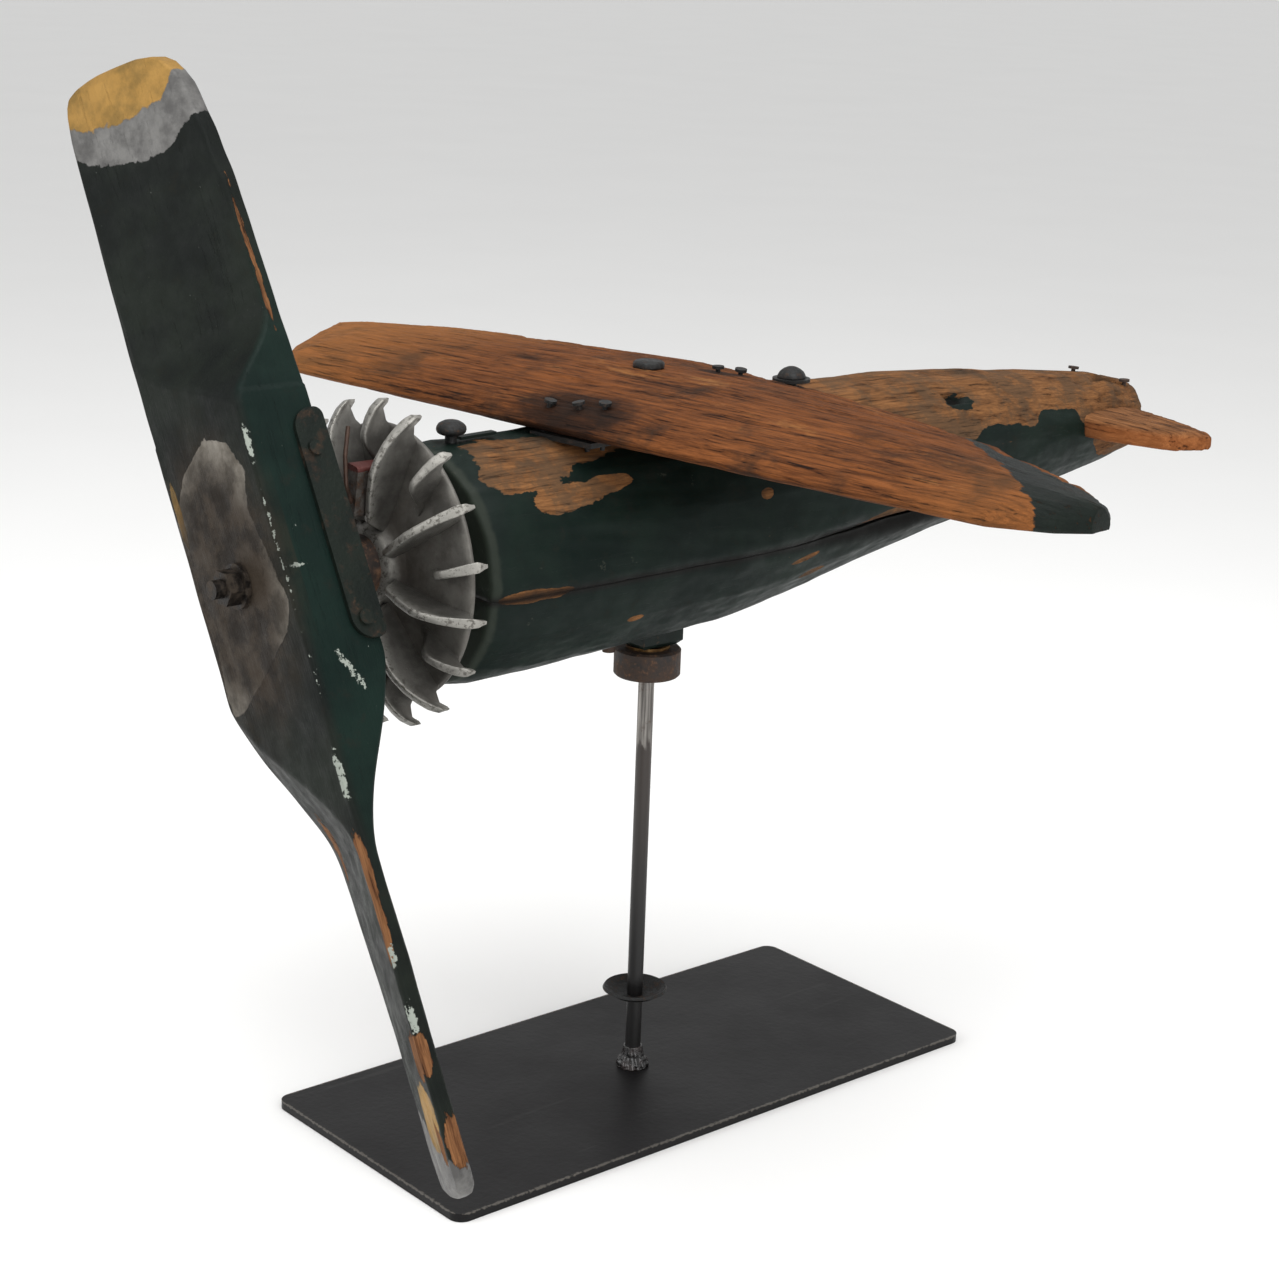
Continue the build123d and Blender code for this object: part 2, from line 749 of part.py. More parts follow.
def vane(start, crest):
    """One flat radial vane whose tip overhangs the rim and turns back over it."""
    tip = wheel_tip_diameter / 2
    rim = wheel_rim_diameter / 2
    inner = wheel_cone_drop - wheel_plate_thickness / 2
    profile = (
        (start, inner),
        (start, inner + 0.55 * crest),
        (start + 7.0, wheel_cone_drop + 0.85 * crest),
        (0.5 * (start + rim), wheel_cone_drop + crest),
        (rim, wheel_cone_drop + 0.72 * crest),
        (tip - 3.0, 0.55 * crest),
        (tip, 0.36 * crest),
        (tip, -vane_tip_lip),
        (tip - 4.0, -vane_tip_lip),
        (tip - 5.0, 0.0),
        (rim - 2.0, -wheel_plate_thickness / 2),
    )
    face = Face(polygon_wire([(r, vane_thickness / 2, z) for r, z in profile]))
    return extrude(face, vane_thickness, dir=(0, -1, 0))


def make_fan_wheel(iron_hub, magnet):
    """Cast disc with long and short vanes turn about, cast round the iron hub."""
    boss = wheel_boss_diameter / 2
    rim = wheel_rim_diameter / 2
    back = -wheel_plate_thickness
    disc = turned(
        (
            (0.0, wheel_cone_drop + back - 3.0),
            (boss, wheel_cone_drop + back - 3.0),
            (boss + 2.0, wheel_cone_drop + back),
            (rim, back),
            (rim, 0.0),
            (boss + 2.0, wheel_cone_drop),
            (boss, wheel_cone_drop + 9.0),
            (0.0, wheel_cone_drop + 9.0),
        )
    )
    wheel = disc
    step = 360.0 / vane_pairs
    for k in range(vane_pairs):
        angle = vane_first_angle + k * step
        wheel += Rot(0, 0, angle) * vane(boss - 4.0, vane_height)
        wheel += Rot(0, 0, angle + step / 2) * vane(short_vane_start, 0.6 * vane_height)
    return on_wheel(wheel) - iron_hub - cylinder_y(iron_hub_diameter / 2, iron_hub_front, 0.0) - magnet


def make_magnet():
    """Block magnet standing on the wheel's plate between two vanes."""
    block = Box(magnet_length, magnet_width, magnet_height, align=(Align.CENTER, Align.CENTER, Align.MIN))
    block = fillet(block.edges().filter_by(Axis.Z), 2.5)
    return on_wheel(Rot(0, 0, magnet_angle) * Pos(magnet_radius, 0, wheel_cone_drop / 2) * block)


def make_magnet_lead():
    """Stiff wire that springs from the magnet's face and bends over towards the vane tips."""
    face = wheel_cone_drop / 2 + magnet_height
    route = FilletPolyline(
        (magnet_radius - 6.0, -2.0, face),
        (magnet_radius + 4.0, -3.0, face + 5.0),
        (magnet_radius + 18.0, 3.0, face + 3.0),
        (magnet_radius + 31.0, 11.0, face - 3.0),
        radius=3.0,
    )
    section = Plane(route @ 0, z_dir=route % 0) * Circle(lead_diameter / 2)
    return on_wheel(Rot(0, 0, magnet_angle) * sweep(section, path=route))


# ---------------------------------------------------------------- assembly
def make_parts():
    """All pieces of the object by name."""
    parts = {}
    parts["base_plate"] = make_base_plate()
    parts["post_rod"] = make_post_rod()
    parts["post_weld_bead"] = make_post_weld_bead()
    parts["post_disc"] = make_post_disc()
    parts["collar_set_screw"] = make_collar_set_screw()
    parts["pivot_collar"] = make_pivot_collar()
    parts["thrust_washer"] = make_thrust_washer()

    parts["belly_boss"] = make_belly_boss()
    parts["pivot_tube"] = make_pivot_tube()
    parts["front_bush"] = make_front_bush()
    parts["rear_bush"] = make_rear_bush()
    parts["nose_bolt"] = make_nose_bolt()
    parts["nose_nail"] = make_nose_nail() - parts["nose_bolt"]
    parts["belly_screw"] = make_belly_screw()
    parts["wing_front_bolt"] = make_wing_front_bolt()
    parts["wing_rear_bolt"] = make_wing_rear_bolt()
    parts["wing_rear_washer"] = make_wing_rear_washer()
    parts["wing_nails"] = make_wing_nails()
    parts["tail_nails"] = make_tail_nails()
    wing_fasteners = [parts[name] for name in ("wing_front_bolt", "wing_rear_bolt", "wing_nails")]
    parts["wing_shim"] = make_wing_shim()
    for piece in wing_fasteners:
        parts["wing_shim"] -= piece
    parts["wing"] = make_wing(wing_fasteners)
    parts["wing_rear_washer"] -= parts["wing"]
    parts["tailplane"] = make_tailplane() - parts["tail_nails"]
    fittings = [
        parts[name]
        for name in (
            "belly_boss", "pivot_tube", "front_bush", "rear_bush", "nose_bolt", "nose_nail", "belly_screw",
            "wing_front_bolt", "wing_rear_bolt", "wing_nails", "wing_shim", "wing", "tail_nails",
        )
    ]
    fittings.append(cylinder_z(rod_radius + running_clearance, boss_bottom, rod_top + 2.0))
    fittings.append(cylinder_y(bush_radius, nose_y - 1, nose_y + front_bush_length))
    fittings.append(cylinder_y(bush_radius, rear_bush_back - rear_bush_length, rear_bush_back))
    upper, lower = part_at_seam(bored_fuselage(fittings))
    parts["fuselage_upper"] = upper
    parts["fuselage_lower"] = lower

    parts["axle"] = make_axle()
    parts["axle_nut"] = make_axle_nut()
    parts["axle_washer"] = make_axle_washer()
    parts["axle_spacer"] = make_axle_spacer()
    parts["axle_collar"] = make_axle_collar()
    parts["axle_cotter"] = make_axle_cotter()
    parts["strap_screws"] = make_strap_screws()
    parts["propeller_strap"] = make_strap(parts["strap_screws"])
    axle_hole = cylinder_y(axle_radius, block_front - 1, block_back + 1)
    parts["propeller"] = make_propeller([axle_hole, parts["strap_screws"]])
    parts["iron_hub"] = make_iron_hub()
    parts["magnet"] = make_magnet()
    parts["fan_wheel"] = make_fan_wheel(parts["iron_hub"], parts["magnet"])
    parts["magnet_lead"] = make_magnet_lead() - parts["magnet"] - parts["fan_wheel"]
    return parts


os.makedirs("parts", exist_ok=True)
for name, shape in make_parts().items():
    export_step(shape, "parts/" + name + ".step")
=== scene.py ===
from math import cos, pi, radians, sin

import bpy
import numpy as np
from mathutils import Matrix, Vector


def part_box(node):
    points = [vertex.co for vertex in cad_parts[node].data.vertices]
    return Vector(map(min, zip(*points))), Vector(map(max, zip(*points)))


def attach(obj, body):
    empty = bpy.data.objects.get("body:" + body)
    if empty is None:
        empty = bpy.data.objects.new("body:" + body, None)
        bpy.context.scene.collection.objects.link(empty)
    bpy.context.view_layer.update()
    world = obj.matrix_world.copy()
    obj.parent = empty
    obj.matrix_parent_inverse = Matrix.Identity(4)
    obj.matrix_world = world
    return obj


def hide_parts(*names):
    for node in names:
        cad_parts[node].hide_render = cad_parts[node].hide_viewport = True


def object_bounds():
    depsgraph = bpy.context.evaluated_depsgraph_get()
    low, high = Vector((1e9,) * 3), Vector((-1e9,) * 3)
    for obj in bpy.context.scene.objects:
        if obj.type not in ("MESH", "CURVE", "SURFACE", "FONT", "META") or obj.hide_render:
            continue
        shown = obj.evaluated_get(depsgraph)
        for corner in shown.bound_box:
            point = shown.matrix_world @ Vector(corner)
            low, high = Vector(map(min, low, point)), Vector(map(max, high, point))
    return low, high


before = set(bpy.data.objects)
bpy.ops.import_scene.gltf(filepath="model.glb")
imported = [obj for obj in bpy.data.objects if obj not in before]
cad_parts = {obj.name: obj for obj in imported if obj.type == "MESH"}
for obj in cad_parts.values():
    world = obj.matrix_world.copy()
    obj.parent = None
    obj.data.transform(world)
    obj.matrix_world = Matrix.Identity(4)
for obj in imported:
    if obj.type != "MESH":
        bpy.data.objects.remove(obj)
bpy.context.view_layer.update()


# ---------------------------------------------------------------- base plate
# Flat mild steel plate, guillotined, with its corners eased. Sprayed satin black; the enamel is
# scuffed on top and rubbed through to bright steel along the upper edges.
class Signal:
    """The output of a shader node, which is added, subtracted and multiplied like a number."""

    def __init__(self, socket):
        self.socket = socket
        self.tree = socket.id_data

    def __add__(self, other):
        return maths("ADD", self, other)

    def __radd__(self, other):
        return maths("ADD", other, self)

    def __sub__(self, other):
        return maths("SUBTRACT", self, other)

    def __rsub__(self, other):
        return maths("SUBTRACT", other, self)

    def __mul__(self, other):
        return maths("MULTIPLY", self, other)

    def __abs__(self):
        return maths("ABSOLUTE", self)


def put(socket, value):
    """Joins a signal to a socket, or sets its value; three numbers are a display colour."""
    if isinstance(value, Signal):
        value.tree.links.new(value.socket, socket)
    elif socket.type == "RGBA" and len(value) == 3:
        socket.default_value = colour(*value)
    else:
        socket.default_value = value


def add(tree, kind, inputs=(), **settings):
    """One shader node."""
    node = tree.nodes.new("ShaderNode" + kind)
    for name, value in settings.items():
        setattr(node, name, value)
    for name, value in dict(inputs).items():
        put(node.inputs[name], value)
    return node


def tree_of(*values):
    """The node tree that the first signal among some values belongs to."""
    return next(value.tree for value in values if isinstance(value, Signal))


def maths(operation, first, second=0.0):
    """Arithmetic on two values."""
    return Signal(add(tree_of(first, second), "Math", {0: first, 1: second}, operation=operation).outputs[0])


def step(value, low, high, first=0.0, last=1.0):
    """Smooth step of a value from low to high, put out between first and last."""
    inputs = {"Value": value, "From Min": low, "From Max": high, "To Min": first, "To Max": last}
    return Signal(add(value.tree, "MapRange", inputs, interpolation_type="SMOOTHSTEP").outputs["Result"])


def noise(place, scale, detail=4.0, roughness=0.55, distortion=0.0):
    """Fractal noise from 0 to 1, about 0.5."""
    inputs = {"Vector": place, "Scale": scale, "Detail": detail, "Roughness": roughness}
    return Signal(add(place.tree, "TexNoise", {**inputs, "Distortion": distortion}).outputs[0])


def shade(mask, under, over):
    """Colour under where the mask is 0 and over where it is 1."""
    return Signal(add(mask.tree, "Mix", {0: mask, 6: under, 7: over}, data_type="RGBA").outputs[2])


def colour(red, green, blue):
    """Scene-linear colour from 0 to 255 display values."""
    value = np.array([red, green, blue]) / 255.0
    linear = np.where(value <= 0.04045, value / 12.92, ((value + 0.055) / 1.055) ** 2.4)
    return (*linear.tolist(), 1.0)


def split(place):
    """X, Y and Z of a place."""
    return [Signal(socket) for socket in add(place.tree, "SeparateXYZ", {0: place}).outputs]


def turned_place(place, turn=(0.0, 0.0, 0.0), stretch=(1.0, 1.0, 1.0)):
    """The place turned and then stretched along its own axes."""
    turned = add(place.tree, "Mapping", {"Vector": place, "Rotation": turn}).outputs[0]
    return Signal(add(place.tree, "Mapping", {"Vector": Signal(turned), "Scale": stretch}).outputs[0])


def new_material(name, roughness=0.6, metallic=0.0, specular=0.5, **sockets):
    """Material with its Principled shader, and the object coordinates in metres."""
    material = bpy.data.materials.new(name)
    material.use_nodes = True
    tree = material.node_tree
    tree.nodes.clear()
    inputs = {"Roughness": roughness, "Metallic": metallic, "Specular IOR Level": specular, **sockets}
    surface = add(tree, "BsdfPrincipled", inputs)
    tree.links.new(surface.outputs[0], add(tree, "OutputMaterial").inputs[0])
    return material, surface, Signal(add(tree, "TexCoord").outputs["Object"])


def wire(surface, **sockets):
    """Joins values to the Principled shader; Relief is a height with its depth in metres."""
    relief = sockets.pop("Relief", None)
    if relief is not None:
        height, depth = relief
        bump = add(height.tree, "Bump", {"Height": height, "Distance": depth, "Strength": 1.0})
        sockets["Normal"] = Signal(bump.outputs[0])
    for name, value in sockets.items():
        put(surface.inputs[name.replace("_", " ")], value)


def dress(material, *names):
    """Gives CAD nodes their finished material."""
    for name in names:
        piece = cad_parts[name]
        if not piece.material_slots:
            piece.data.materials.append(material)
        for place in piece.material_slots:
            place.material = material


def new_group(name, **inputs):
    """Shader node group and its inputs by name: None stands for a vector, four numbers for a colour."""
    group = bpy.data.node_groups.new(name, "ShaderNodeTree")
    for label, value in inputs.items():
        kind = "Vector" if value is None else "Float" if isinstance(value, float) else "Color"
        socket = group.interface.new_socket(label, in_out="INPUT", socket_type="NodeSocket" + kind)
        if value is not None:
            socket.default_value = value
    sockets = group.nodes.new("NodeGroupInput").outputs
    return group, {label: Signal(sockets[label]) for label in inputs}


def close_group(group, **outputs):
    """Gives a node group its outputs, as colours or as values."""
    for label, value in outputs.items():
        kind = "Color" if value.socket.type == "RGBA" else "Float"
        group.interface.new_socket(label, in_out="OUTPUT", socket_type="NodeSocket" + kind)
    end = group.nodes.new("NodeGroupOutput").inputs
    for label, value in outputs.items():
        put(end[label], value)


def use(group, **inputs):
    """Places a node group and gives its outputs by name."""
    node = tree_of(*inputs.values()).nodes.new("ShaderNodeGroup")
    node.node_tree = group
    for name, value in inputs.items():
        put(node.inputs[name], value)
    return {socket.name: Signal(socket) for socket in node.outputs}


# Breaks a smooth mask into a ragged one: noise is added to it and the sum is cut at a half.
ragged, given = new_group("Ragged edge", Mask=0.0, Place=None, Scale=200.0, Reach=0.6, Softness=0.05)
shifted = given["Mask"] + (noise(given["Place"], given["Scale"], 6.0, 0.65) - 0.5) * given["Reach"]
close_group(ragged, Mask=step(shifted, 0.5 - given["Softness"], 0.5 + given["Softness"]))

# Fine scuffs and dust on a painted or bare metal face.
scuffed, given = new_group("Scuffs", Place=None, Scale=60.0)
long_way = {"Vector": given["Place"], "Scale": (1.0, 0.06, 1.0), "Rotation": (0.0, 0.0, 0.5)}
hair = noise(Signal(add(scuffed, "Mapping", long_way).outputs[0]), given["Scale"] * 14.0, 3.0, 0.5)
close_group(
    scuffed,
    Cloud=noise(given["Place"], given["Scale"], 5.0, 0.6),
    Scratch=step(hair, 0.66, 0.74),
    Height=noise(given["Place"], given["Scale"] * 30.0, 2.0, 0.5),
)


def torn(mask, place, scale, reach, softness):
    """The mask with its edge broken up."""
    return use(ragged, Mask=mask, Place=place, Scale=scale, Reach=reach, Softness=softness)["Mask"]


material, surface, place = new_material("Black enamel on the plate", 0.42, specular=0.2)
low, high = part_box("base_plate")
plate_half = (high - low) / 2
x, y, z = split(place)
to_side = plate_half.x - abs(x)
to_end = plate_half.y - abs(y)
inward = maths("MINIMUM", to_side, to_end)
from_edge = inward + abs(z - high.z)
edge = torn(step(from_edge, 0.0, 0.0028, 0.62, 0.05), place, 420.0, 1.3, 0.08)
marks = use(scuffed, Place=place, Scale=9.0)
base = shade(step(marks["Cloud"], 0.35, 0.7), (11, 10, 11), (19, 18, 19))
base = shade(marks["Scratch"] * 0.16, base, (70, 69, 67))
base = shade(edge * 0.7, base, (112, 108, 102))
wire(
    surface,
    Base_Color=base,
    Roughness=step(marks["Cloud"], 0.3, 0.75, 0.34, 0.52),
    Metallic=edge * 0.7,
    Relief=(marks["Height"], 0.00012),
)
dress(material, "base_plate")


# ---------------------------------------------------------------- post
# Round mild steel bar, stood on the plate. Its upper part is bare and dull with rust freckles and
# drawn streaks; below that it was painted black by hand, with a ragged end to the paint.
rust, given = new_group("Rust", Place=None, Scale=120.0)
cloud = noise(given["Place"], given["Scale"], 7.0, 0.7)
crust = noise(given["Place"], given["Scale"] * 4.0, 4.0, 0.6)
tone = shade(step(cloud, 0.34, 0.62), (30, 25, 23), (66, 49, 38))
tone = shade(step(crust, 0.56, 0.72), tone, (98, 70, 50))
close_group(rust, Colour=tone, Height=crust, Cloud=cloud)

material, surface, place = new_material("Drawn bar of the post", 0.4, 0.9)
x, y, z = split(place)
streak = noise(turned_place(place, stretch=(420.0, 420.0, 14.0)), 1.0, 4.0, 0.6)
rusty = use(rust, Place=place, Scale=160.0)
steel = shade(step(streak, 0.35, 0.65), (86, 83, 80), (158, 154, 149))
specks = step(rusty["Cloud"], 0.58, 0.68)
steel = shade(specks * 0.6, steel, rusty["Colour"])
solid_up_to, gone_by = 0.185, 0.240
drips = turned_place(place, stretch=(1.0, 1.0, 0.25))
painted = torn(step(z, solid_up_to, gone_by, 1.0, 0.0), drips, 230.0, 0.7, 0.06)
chipped = painted * step(streak, 0.74, 0.70, 0.0, 1.0)
film = shade(step(z, 0.08, 0.22) * 0.85, (15, 14, 14), (52, 44, 39))
wire(
    surface,
    Base_Color=shade(chipped, steel, film),
    Roughness=0.3 + streak * 0.25,
    Metallic=0.92 - chipped * 0.85,
    Relief=(streak, 0.00015),
)
dress(material, "post_rod")


# ---------------------------------------------------------------- weld at the post's foot
# Fillet weld laid round the foot of the post, in overlapping ripples with a little spatter, then
# painted over glossy black.
def wrapped(rings, ends=True):
    """Skin over rings of points, (rows, around, xyz): each ring joins on to itself and to the next.
    The two ends are closed by a fan on the ring's middle, or joined to each other in a hoop."""
    rows, around = rings.shape[:2]
    points = rings.reshape(-1, 3)
    number = np.arange(rows * around).reshape(rows, around)
    beside = np.roll(number, -1, 1)
    if ends:
        near, far, near_side, far_side = number[:-1], number[1:], beside[:-1], beside[1:]
    else:
        near, far, near_side, far_side = number, np.roll(number, -1, 0), beside, np.roll(beside, -1, 0)
    faces = np.stack([near, near_side, far_side, far], -1).reshape(-1, 4).tolist()
    if ends:
        middle = rows * around
        points = np.concatenate([points, rings[:1].mean(1), rings[-1:].mean(1)])
        faces += np.stack([beside[0], number[0], np.full(around, middle)], -1).tolist()
        faces += np.stack([number[-1], beside[-1], np.full(around, middle + 1)], -1).tolist()
    return points, faces


def made_piece(name, shells, body, material, nodes=(), marks=None, sharp=None):
    """Object from wrapped shells, each turned so that its faces point outwards: the sum of the signed
    tetrahedra on the origin is made positive. marks is {attribute: function of the points in metres}."""
    points, faces = [], []
    for corner, quads in shells:
        ring = [f if len(f) == 4 else [*f, f[-1]] for f in quads]
        a, b, c, d = corner[np.array(ring)].transpose(1, 0, 2)
        volume = np.einsum("ij,ij->", a, np.cross(b, c)) + np.einsum("ij,ij->", a, np.cross(c, d))
        offset = sum(len(p) for p in points)
        turn = 1 if volume > 0 else -1
        faces += [[k + offset for k in f[::turn]] for f in quads]
        points.append(corner)
    points = np.concatenate(points)
    mesh = bpy.data.meshes.new(name)
    mesh.from_pydata(points.tolist(), [], faces)
    mesh.polygons.foreach_set("use_smooth", np.ones(len(faces), bool))
    for label, rule in (marks or {}).items():
        layer = mesh.attributes.new(label, "FLOAT", "POINT")
        layer.data.foreach_set("value", np.ascontiguousarray(rule(points), np.float32))
    mesh.update()
    if sharp is not None:
        mesh.set_sharp_from_angle(angle=radians(sharp))
    mesh.materials.append(material)
    piece = bpy.data.objects.new(name, mesh)
    bpy.context.scene.collection.objects.link(piece)
    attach(piece, body)
    if nodes:
        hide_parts(*nodes)
    return piece


def full_turn(count):
    """Angles spaced evenly round a circle."""
    return np.linspace(0.0, 2 * pi, count, endpoint=False)


def unit(value):
    """The value held between 0 and 1."""
    return np.clip(value, 0.0, 1.0)


def points_of(x, y, z):
    """Points from three grids of coordinates."""
    return np.stack(np.broadcast_arrays(x, y, z), -1)


def ripple(seed, *across):
    """Smooth random waves of about unit wavelength and height: sixteen cosines in random directions."""
    random = np.random.default_rng(seed)
    total = 0.0
    for wave in range(16):
        way = random.normal(0.0, 0.75, len(across))
        total = total + np.cos(2 * pi * (sum(d * a for d, a in zip(way, across)) + random.random()))
    return total / 4.0


def along_polyline(corners, count):
    """Points spaced evenly along a closed line through corners."""
    loop = np.array([*corners, corners[0]], float)
    run = np.concatenate([[0.0], np.cumsum(np.hypot(*np.diff(loop, axis=0).T))])
    share = np.linspace(0.0, run[-1], count, endpoint=False)
    return np.stack([np.interp(share, run, loop[:, k]) for k in (0, 1)], -1)


low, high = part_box("post_weld_bead")
foot = (high.x - low.x) / 2
rod_radius = (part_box("post_rod")[1].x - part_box("post_rod")[0].x) / 2
inside, bead_points = rod_radius - 0.0004, 60
section = along_polyline([
    (inside, low.z), (foot, low.z), (foot - 0.0008, low.z + 0.0028), (rod_radius + 0.0024, low.z + 0.0068),
    (rod_radius + 0.0008, high.z - 0.0006), (inside, high.z - 0.0008)], bead_points)
angle = full_turn(150)[:, None]
outward = unit((section[:, 0] - rod_radius) / (foot - rod_radius))
up = (section[:, 1] - low.z) / (high.z - low.z)
lobes = np.abs(np.sin(angle * 5.5 + 2.0 * up + 0.8 * np.sin(angle)))
swell = 0.0011 * outward * (lobes - 0.9) + 0.0004 * outward * ripple(3, angle * 1.3, section[:, 1] * 300)
radius = np.minimum(section[:, 0] + swell, foot)
bead = points_of(radius * np.cos(angle), radius * np.sin(angle), section[:, 1])
gloss = {"Coat Weight": 0.5, "Coat Roughness": 0.15}
material, surface, place = new_material("Painted weld", 0.2, 0.25, **gloss)
heat = noise(place, 130.0, 4.0)
base = shade(step(heat, 0.42, 0.6), (14, 13, 13), (38, 30, 29))
finish = step(heat, 0.3, 0.7, 0.14, 0.34)
wire(surface, Base_Color=base, Roughness=finish, Relief=(noise(place, 900.0, 3.0), 0.0002))
shells = [wrapped(bead, ends=False)]
made_piece("weld_bead_rippled", shells, "stand", material, ["post_weld_bead"])


# ---------------------------------------------------------------- rusted ironwork
# The dished disc, the shaft collar with its screw, and every bolt, nail and screw: plain steel with
# a dry, dark brown rust that has gone almost black on the heads.
MM = 0.001
material, surface, place = new_material("Dry dark rust", 0.72, 0.25)
rusty = use(rust, Place=place, Scale=110.0)
finish = step(rusty["Cloud"], 0.3, 0.7, 0.55, 0.85)
wire(surface, Base_Color=rusty["Colour"], Roughness=finish, Relief=(rusty["Height"], 0.0005))
dress(material, "collar_set_screw", "pivot_collar", "tail_nails", "belly_screw")
blackened, surface, place = new_material("Blackened fastener heads", 0.6, 0.35)
rusty = use(rust, Place=place, Scale=240.0)
base = shade(step(rusty["Cloud"], 0.5, 0.75), (22, 23, 23), rusty["Colour"])
finish = step(rusty["Cloud"], 0.3, 0.7, 0.42, 0.75)
wire(surface, Base_Color=base, Roughness=finish, Relief=(rusty["Height"], 0.0004))
dress(blackened, "post_disc", "wing_rear_washer", "wing_nails", "wing_shim")


# The bolt heads are forged mushrooms and domes, a little out of round, on plain shanks.
def turned_about(centre, profile, lean, seed):
    """Solid of revolution through (radius, height) corners about an upright line, with hammered
    unevenness and a lean in radians towards the port bow."""
    near_axis = 0.00002
    line = along_polyline([*profile, *[(near_axis, h) for r, h in profile[::-1]]], 120)
    turn = full_turn(72)[:, None]
    radius, height = line[:, 0], line[:, 1]
    dent = 1.0 + 0.035 * ripple(seed, np.cos(turn) * 1.1, np.sin(turn) * 1.1, height / 0.006)
    x, y = radius * dent * np.cos(turn), radius * dent * np.sin(turn)
    z = height - lean * (x - y) * 0.7
    return wrapped(points_of(centre[0] + x, centre[1] + y, centre[2] + z), ends=False)


def bolt_piece(node, name, lean, seed, head):
    """A bolt on a CAD bolt's line. The profile of its head runs down from the top, as shares of the
    radius and depths in mm."""
    low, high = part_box(node)
    centre = ((low.x + high.x) / 2, (low.y + high.y) / 2, high.z - 0.0003)
    radius, shank = (high.x - low.x) / 2 * 0.955, 0.0032
    profile = [(radius * r, -h * MM) for r, h in head]
    profile += [(shank, -head[-1][1] * MM), (shank, low.z - centre[2])]
    shells = [turned_about(centre, profile, lean, seed)]
    made_piece(name, shells, "airframe", blackened, [node])


bolt_piece("nose_bolt", "nose_bolt_mushroom", 0.06, 14, [
    (0.02, 0.0), (0.35, 0.2), (0.62, 0.9), (0.84, 2.1), (0.97, 3.7), (1.0, 5.0), (0.94, 6.4), (0.76, 7.4),
    (0.5, 7.6)])
bolt_piece("wing_front_bolt", "wing_front_bolt_head", 0.0, 15, [
    (0.02, 0.0), (0.55, 0.1), (0.86, 0.5), (0.98, 1.4), (1.0, 2.8), (0.98, 4.8)])
bolt_piece("wing_rear_bolt", "wing_rear_bolt_dome", 0.03, 16, [
    (0.02, 0.0), (0.32, 0.5), (0.6, 1.6), (0.84, 3.4), (0.98, 5.4), (0.97, 7.0), (0.6, 7.2)])


# ---------------------------------------------------------------- running parts
# Bronze bushes and thrust washer, and the steel axle with its nut, washer, spacer, collar and pin,
# under an old film of brown grease.
material, surface, place = new_material("Oiled bronze", 0.4, 0.85)
cloud = noise(place, 180.0, 5.0)
base = shade(step(cloud, 0.35, 0.65), (92, 66, 40), (150, 116, 72))
finish = step(cloud, 0.3, 0.7, 0.3, 0.55)
wire(surface, Base_Color=base, Roughness=finish, Relief=(noise(place, 1500.0, 2.0), 0.00008))
dress(material, "thrust_washer", "front_bush", "rear_bush")
material, surface, place = new_material("Greasy axle steel", 0.5, 0.7)
cloud = noise(place, 150.0, 6.0, 0.65)
base = shade(step(cloud, 0.4, 0.62), (24, 20, 17), (62, 54, 46))
finish = step(cloud, 0.3, 0.7, 0.35, 0.7)
wire(surface, Base_Color=base, Roughness=finish, Relief=(noise(place, 700.0, 4.0), 0.0003))
dress(material, "axle", "axle_nut", "axle_washer", "axle_spacer", "axle_collar", "axle_cotter", "pivot_tube")


# ---------------------------------------------------------------- fuselage
# Two pine planks glued flat on each other and carved to a round spindle with a drawknife, which
# leaves long soft facets. Thick dark green oil paint, now chipped off to the wood. The planks have
# warped apart behind the middle, so the glue line gapes.
# Old oil paint: cloudy bloom, grime and fine brush marks.
paint, given = new_group("Old green paint", Place=None, Teal=0.0)
bloom = noise(given["Place"], 22.0, 6.0, 0.62)
grime = noise(given["Place"], 75.0, 6.0, 0.7)
brush = noise(turned_place(given["Place"], stretch=(1.0, 0.12, 1.0)), 900.0, 3.0, 0.6)
deep = shade(given["Teal"], (13, 17, 15), (7, 27, 23))
light = shade(given["Teal"], (23, 28, 23), (11, 34, 29))
tone = shade(step(bloom, 0.36, 0.68), deep, light)
tone = shade(step(grime, 0.55, 0.75, 0.0, 0.55), tone, (30, 29, 24))
tone = shade(step(brush, 0.66, 0.8, 0.0, 0.12), tone, (52, 56, 49))
finish = step(grime, 0.3, 0.75, 0.42, 0.66)
close_group(paint, Colour=tone, Roughness=finish, Height=brush * 0.5 + grime)

# Bare weathered wood: the place is stretched so that the grain runs along X.
dark_wood, pale_wood = colour(88, 52, 28), colour(196, 142, 92)
grain, given = new_group("Weathered grain", Place=None, Dark=dark_wood, Pale=pale_wood, Stain=0.3, Cracks=0.8)
fibre = noise(turned_place(given["Place"], stretch=(34.0, 520.0, 520.0)), 1.0, 7.0, 0.72, 0.5)
band = noise(turned_place(given["Place"], stretch=(12.0, 120.0, 120.0)), 1.0, 6.0, 0.68, 1.0)
fine = noise(turned_place(given["Place"], stretch=(60.0, 2200.0, 2200.0)), 1.0, 3.0, 0.6)
cloud = noise(given["Place"], 26.0, 5.0, 0.6)
crack = step(fibre + band * 0.35, 0.575, 0.515)
tone = shade(step(fibre * 0.55 + band * 0.45, 0.36, 0.64), given["Dark"], given["Pale"])
tone = shade(step(fine, 0.35, 0.7, 0.32, 0.0), tone, (52, 27, 13))
tone = shade(crack * given["Cracks"], tone, (30, 17, 10))
tone = shade(step(cloud, 0.5, 0.72) * given["Stain"], tone, (42, 31, 23))
close_group(grain, Colour=tone, Height=fibre + fine * 0.3 - crack * 0.5, Crack=crack)


def mark(place, label):
    """A piece's own attribute."""
    node = add(place.tree, "Attribute", attribute_name=label, attribute_type="GEOMETRY")
    return Signal(node.outputs["Fac"])


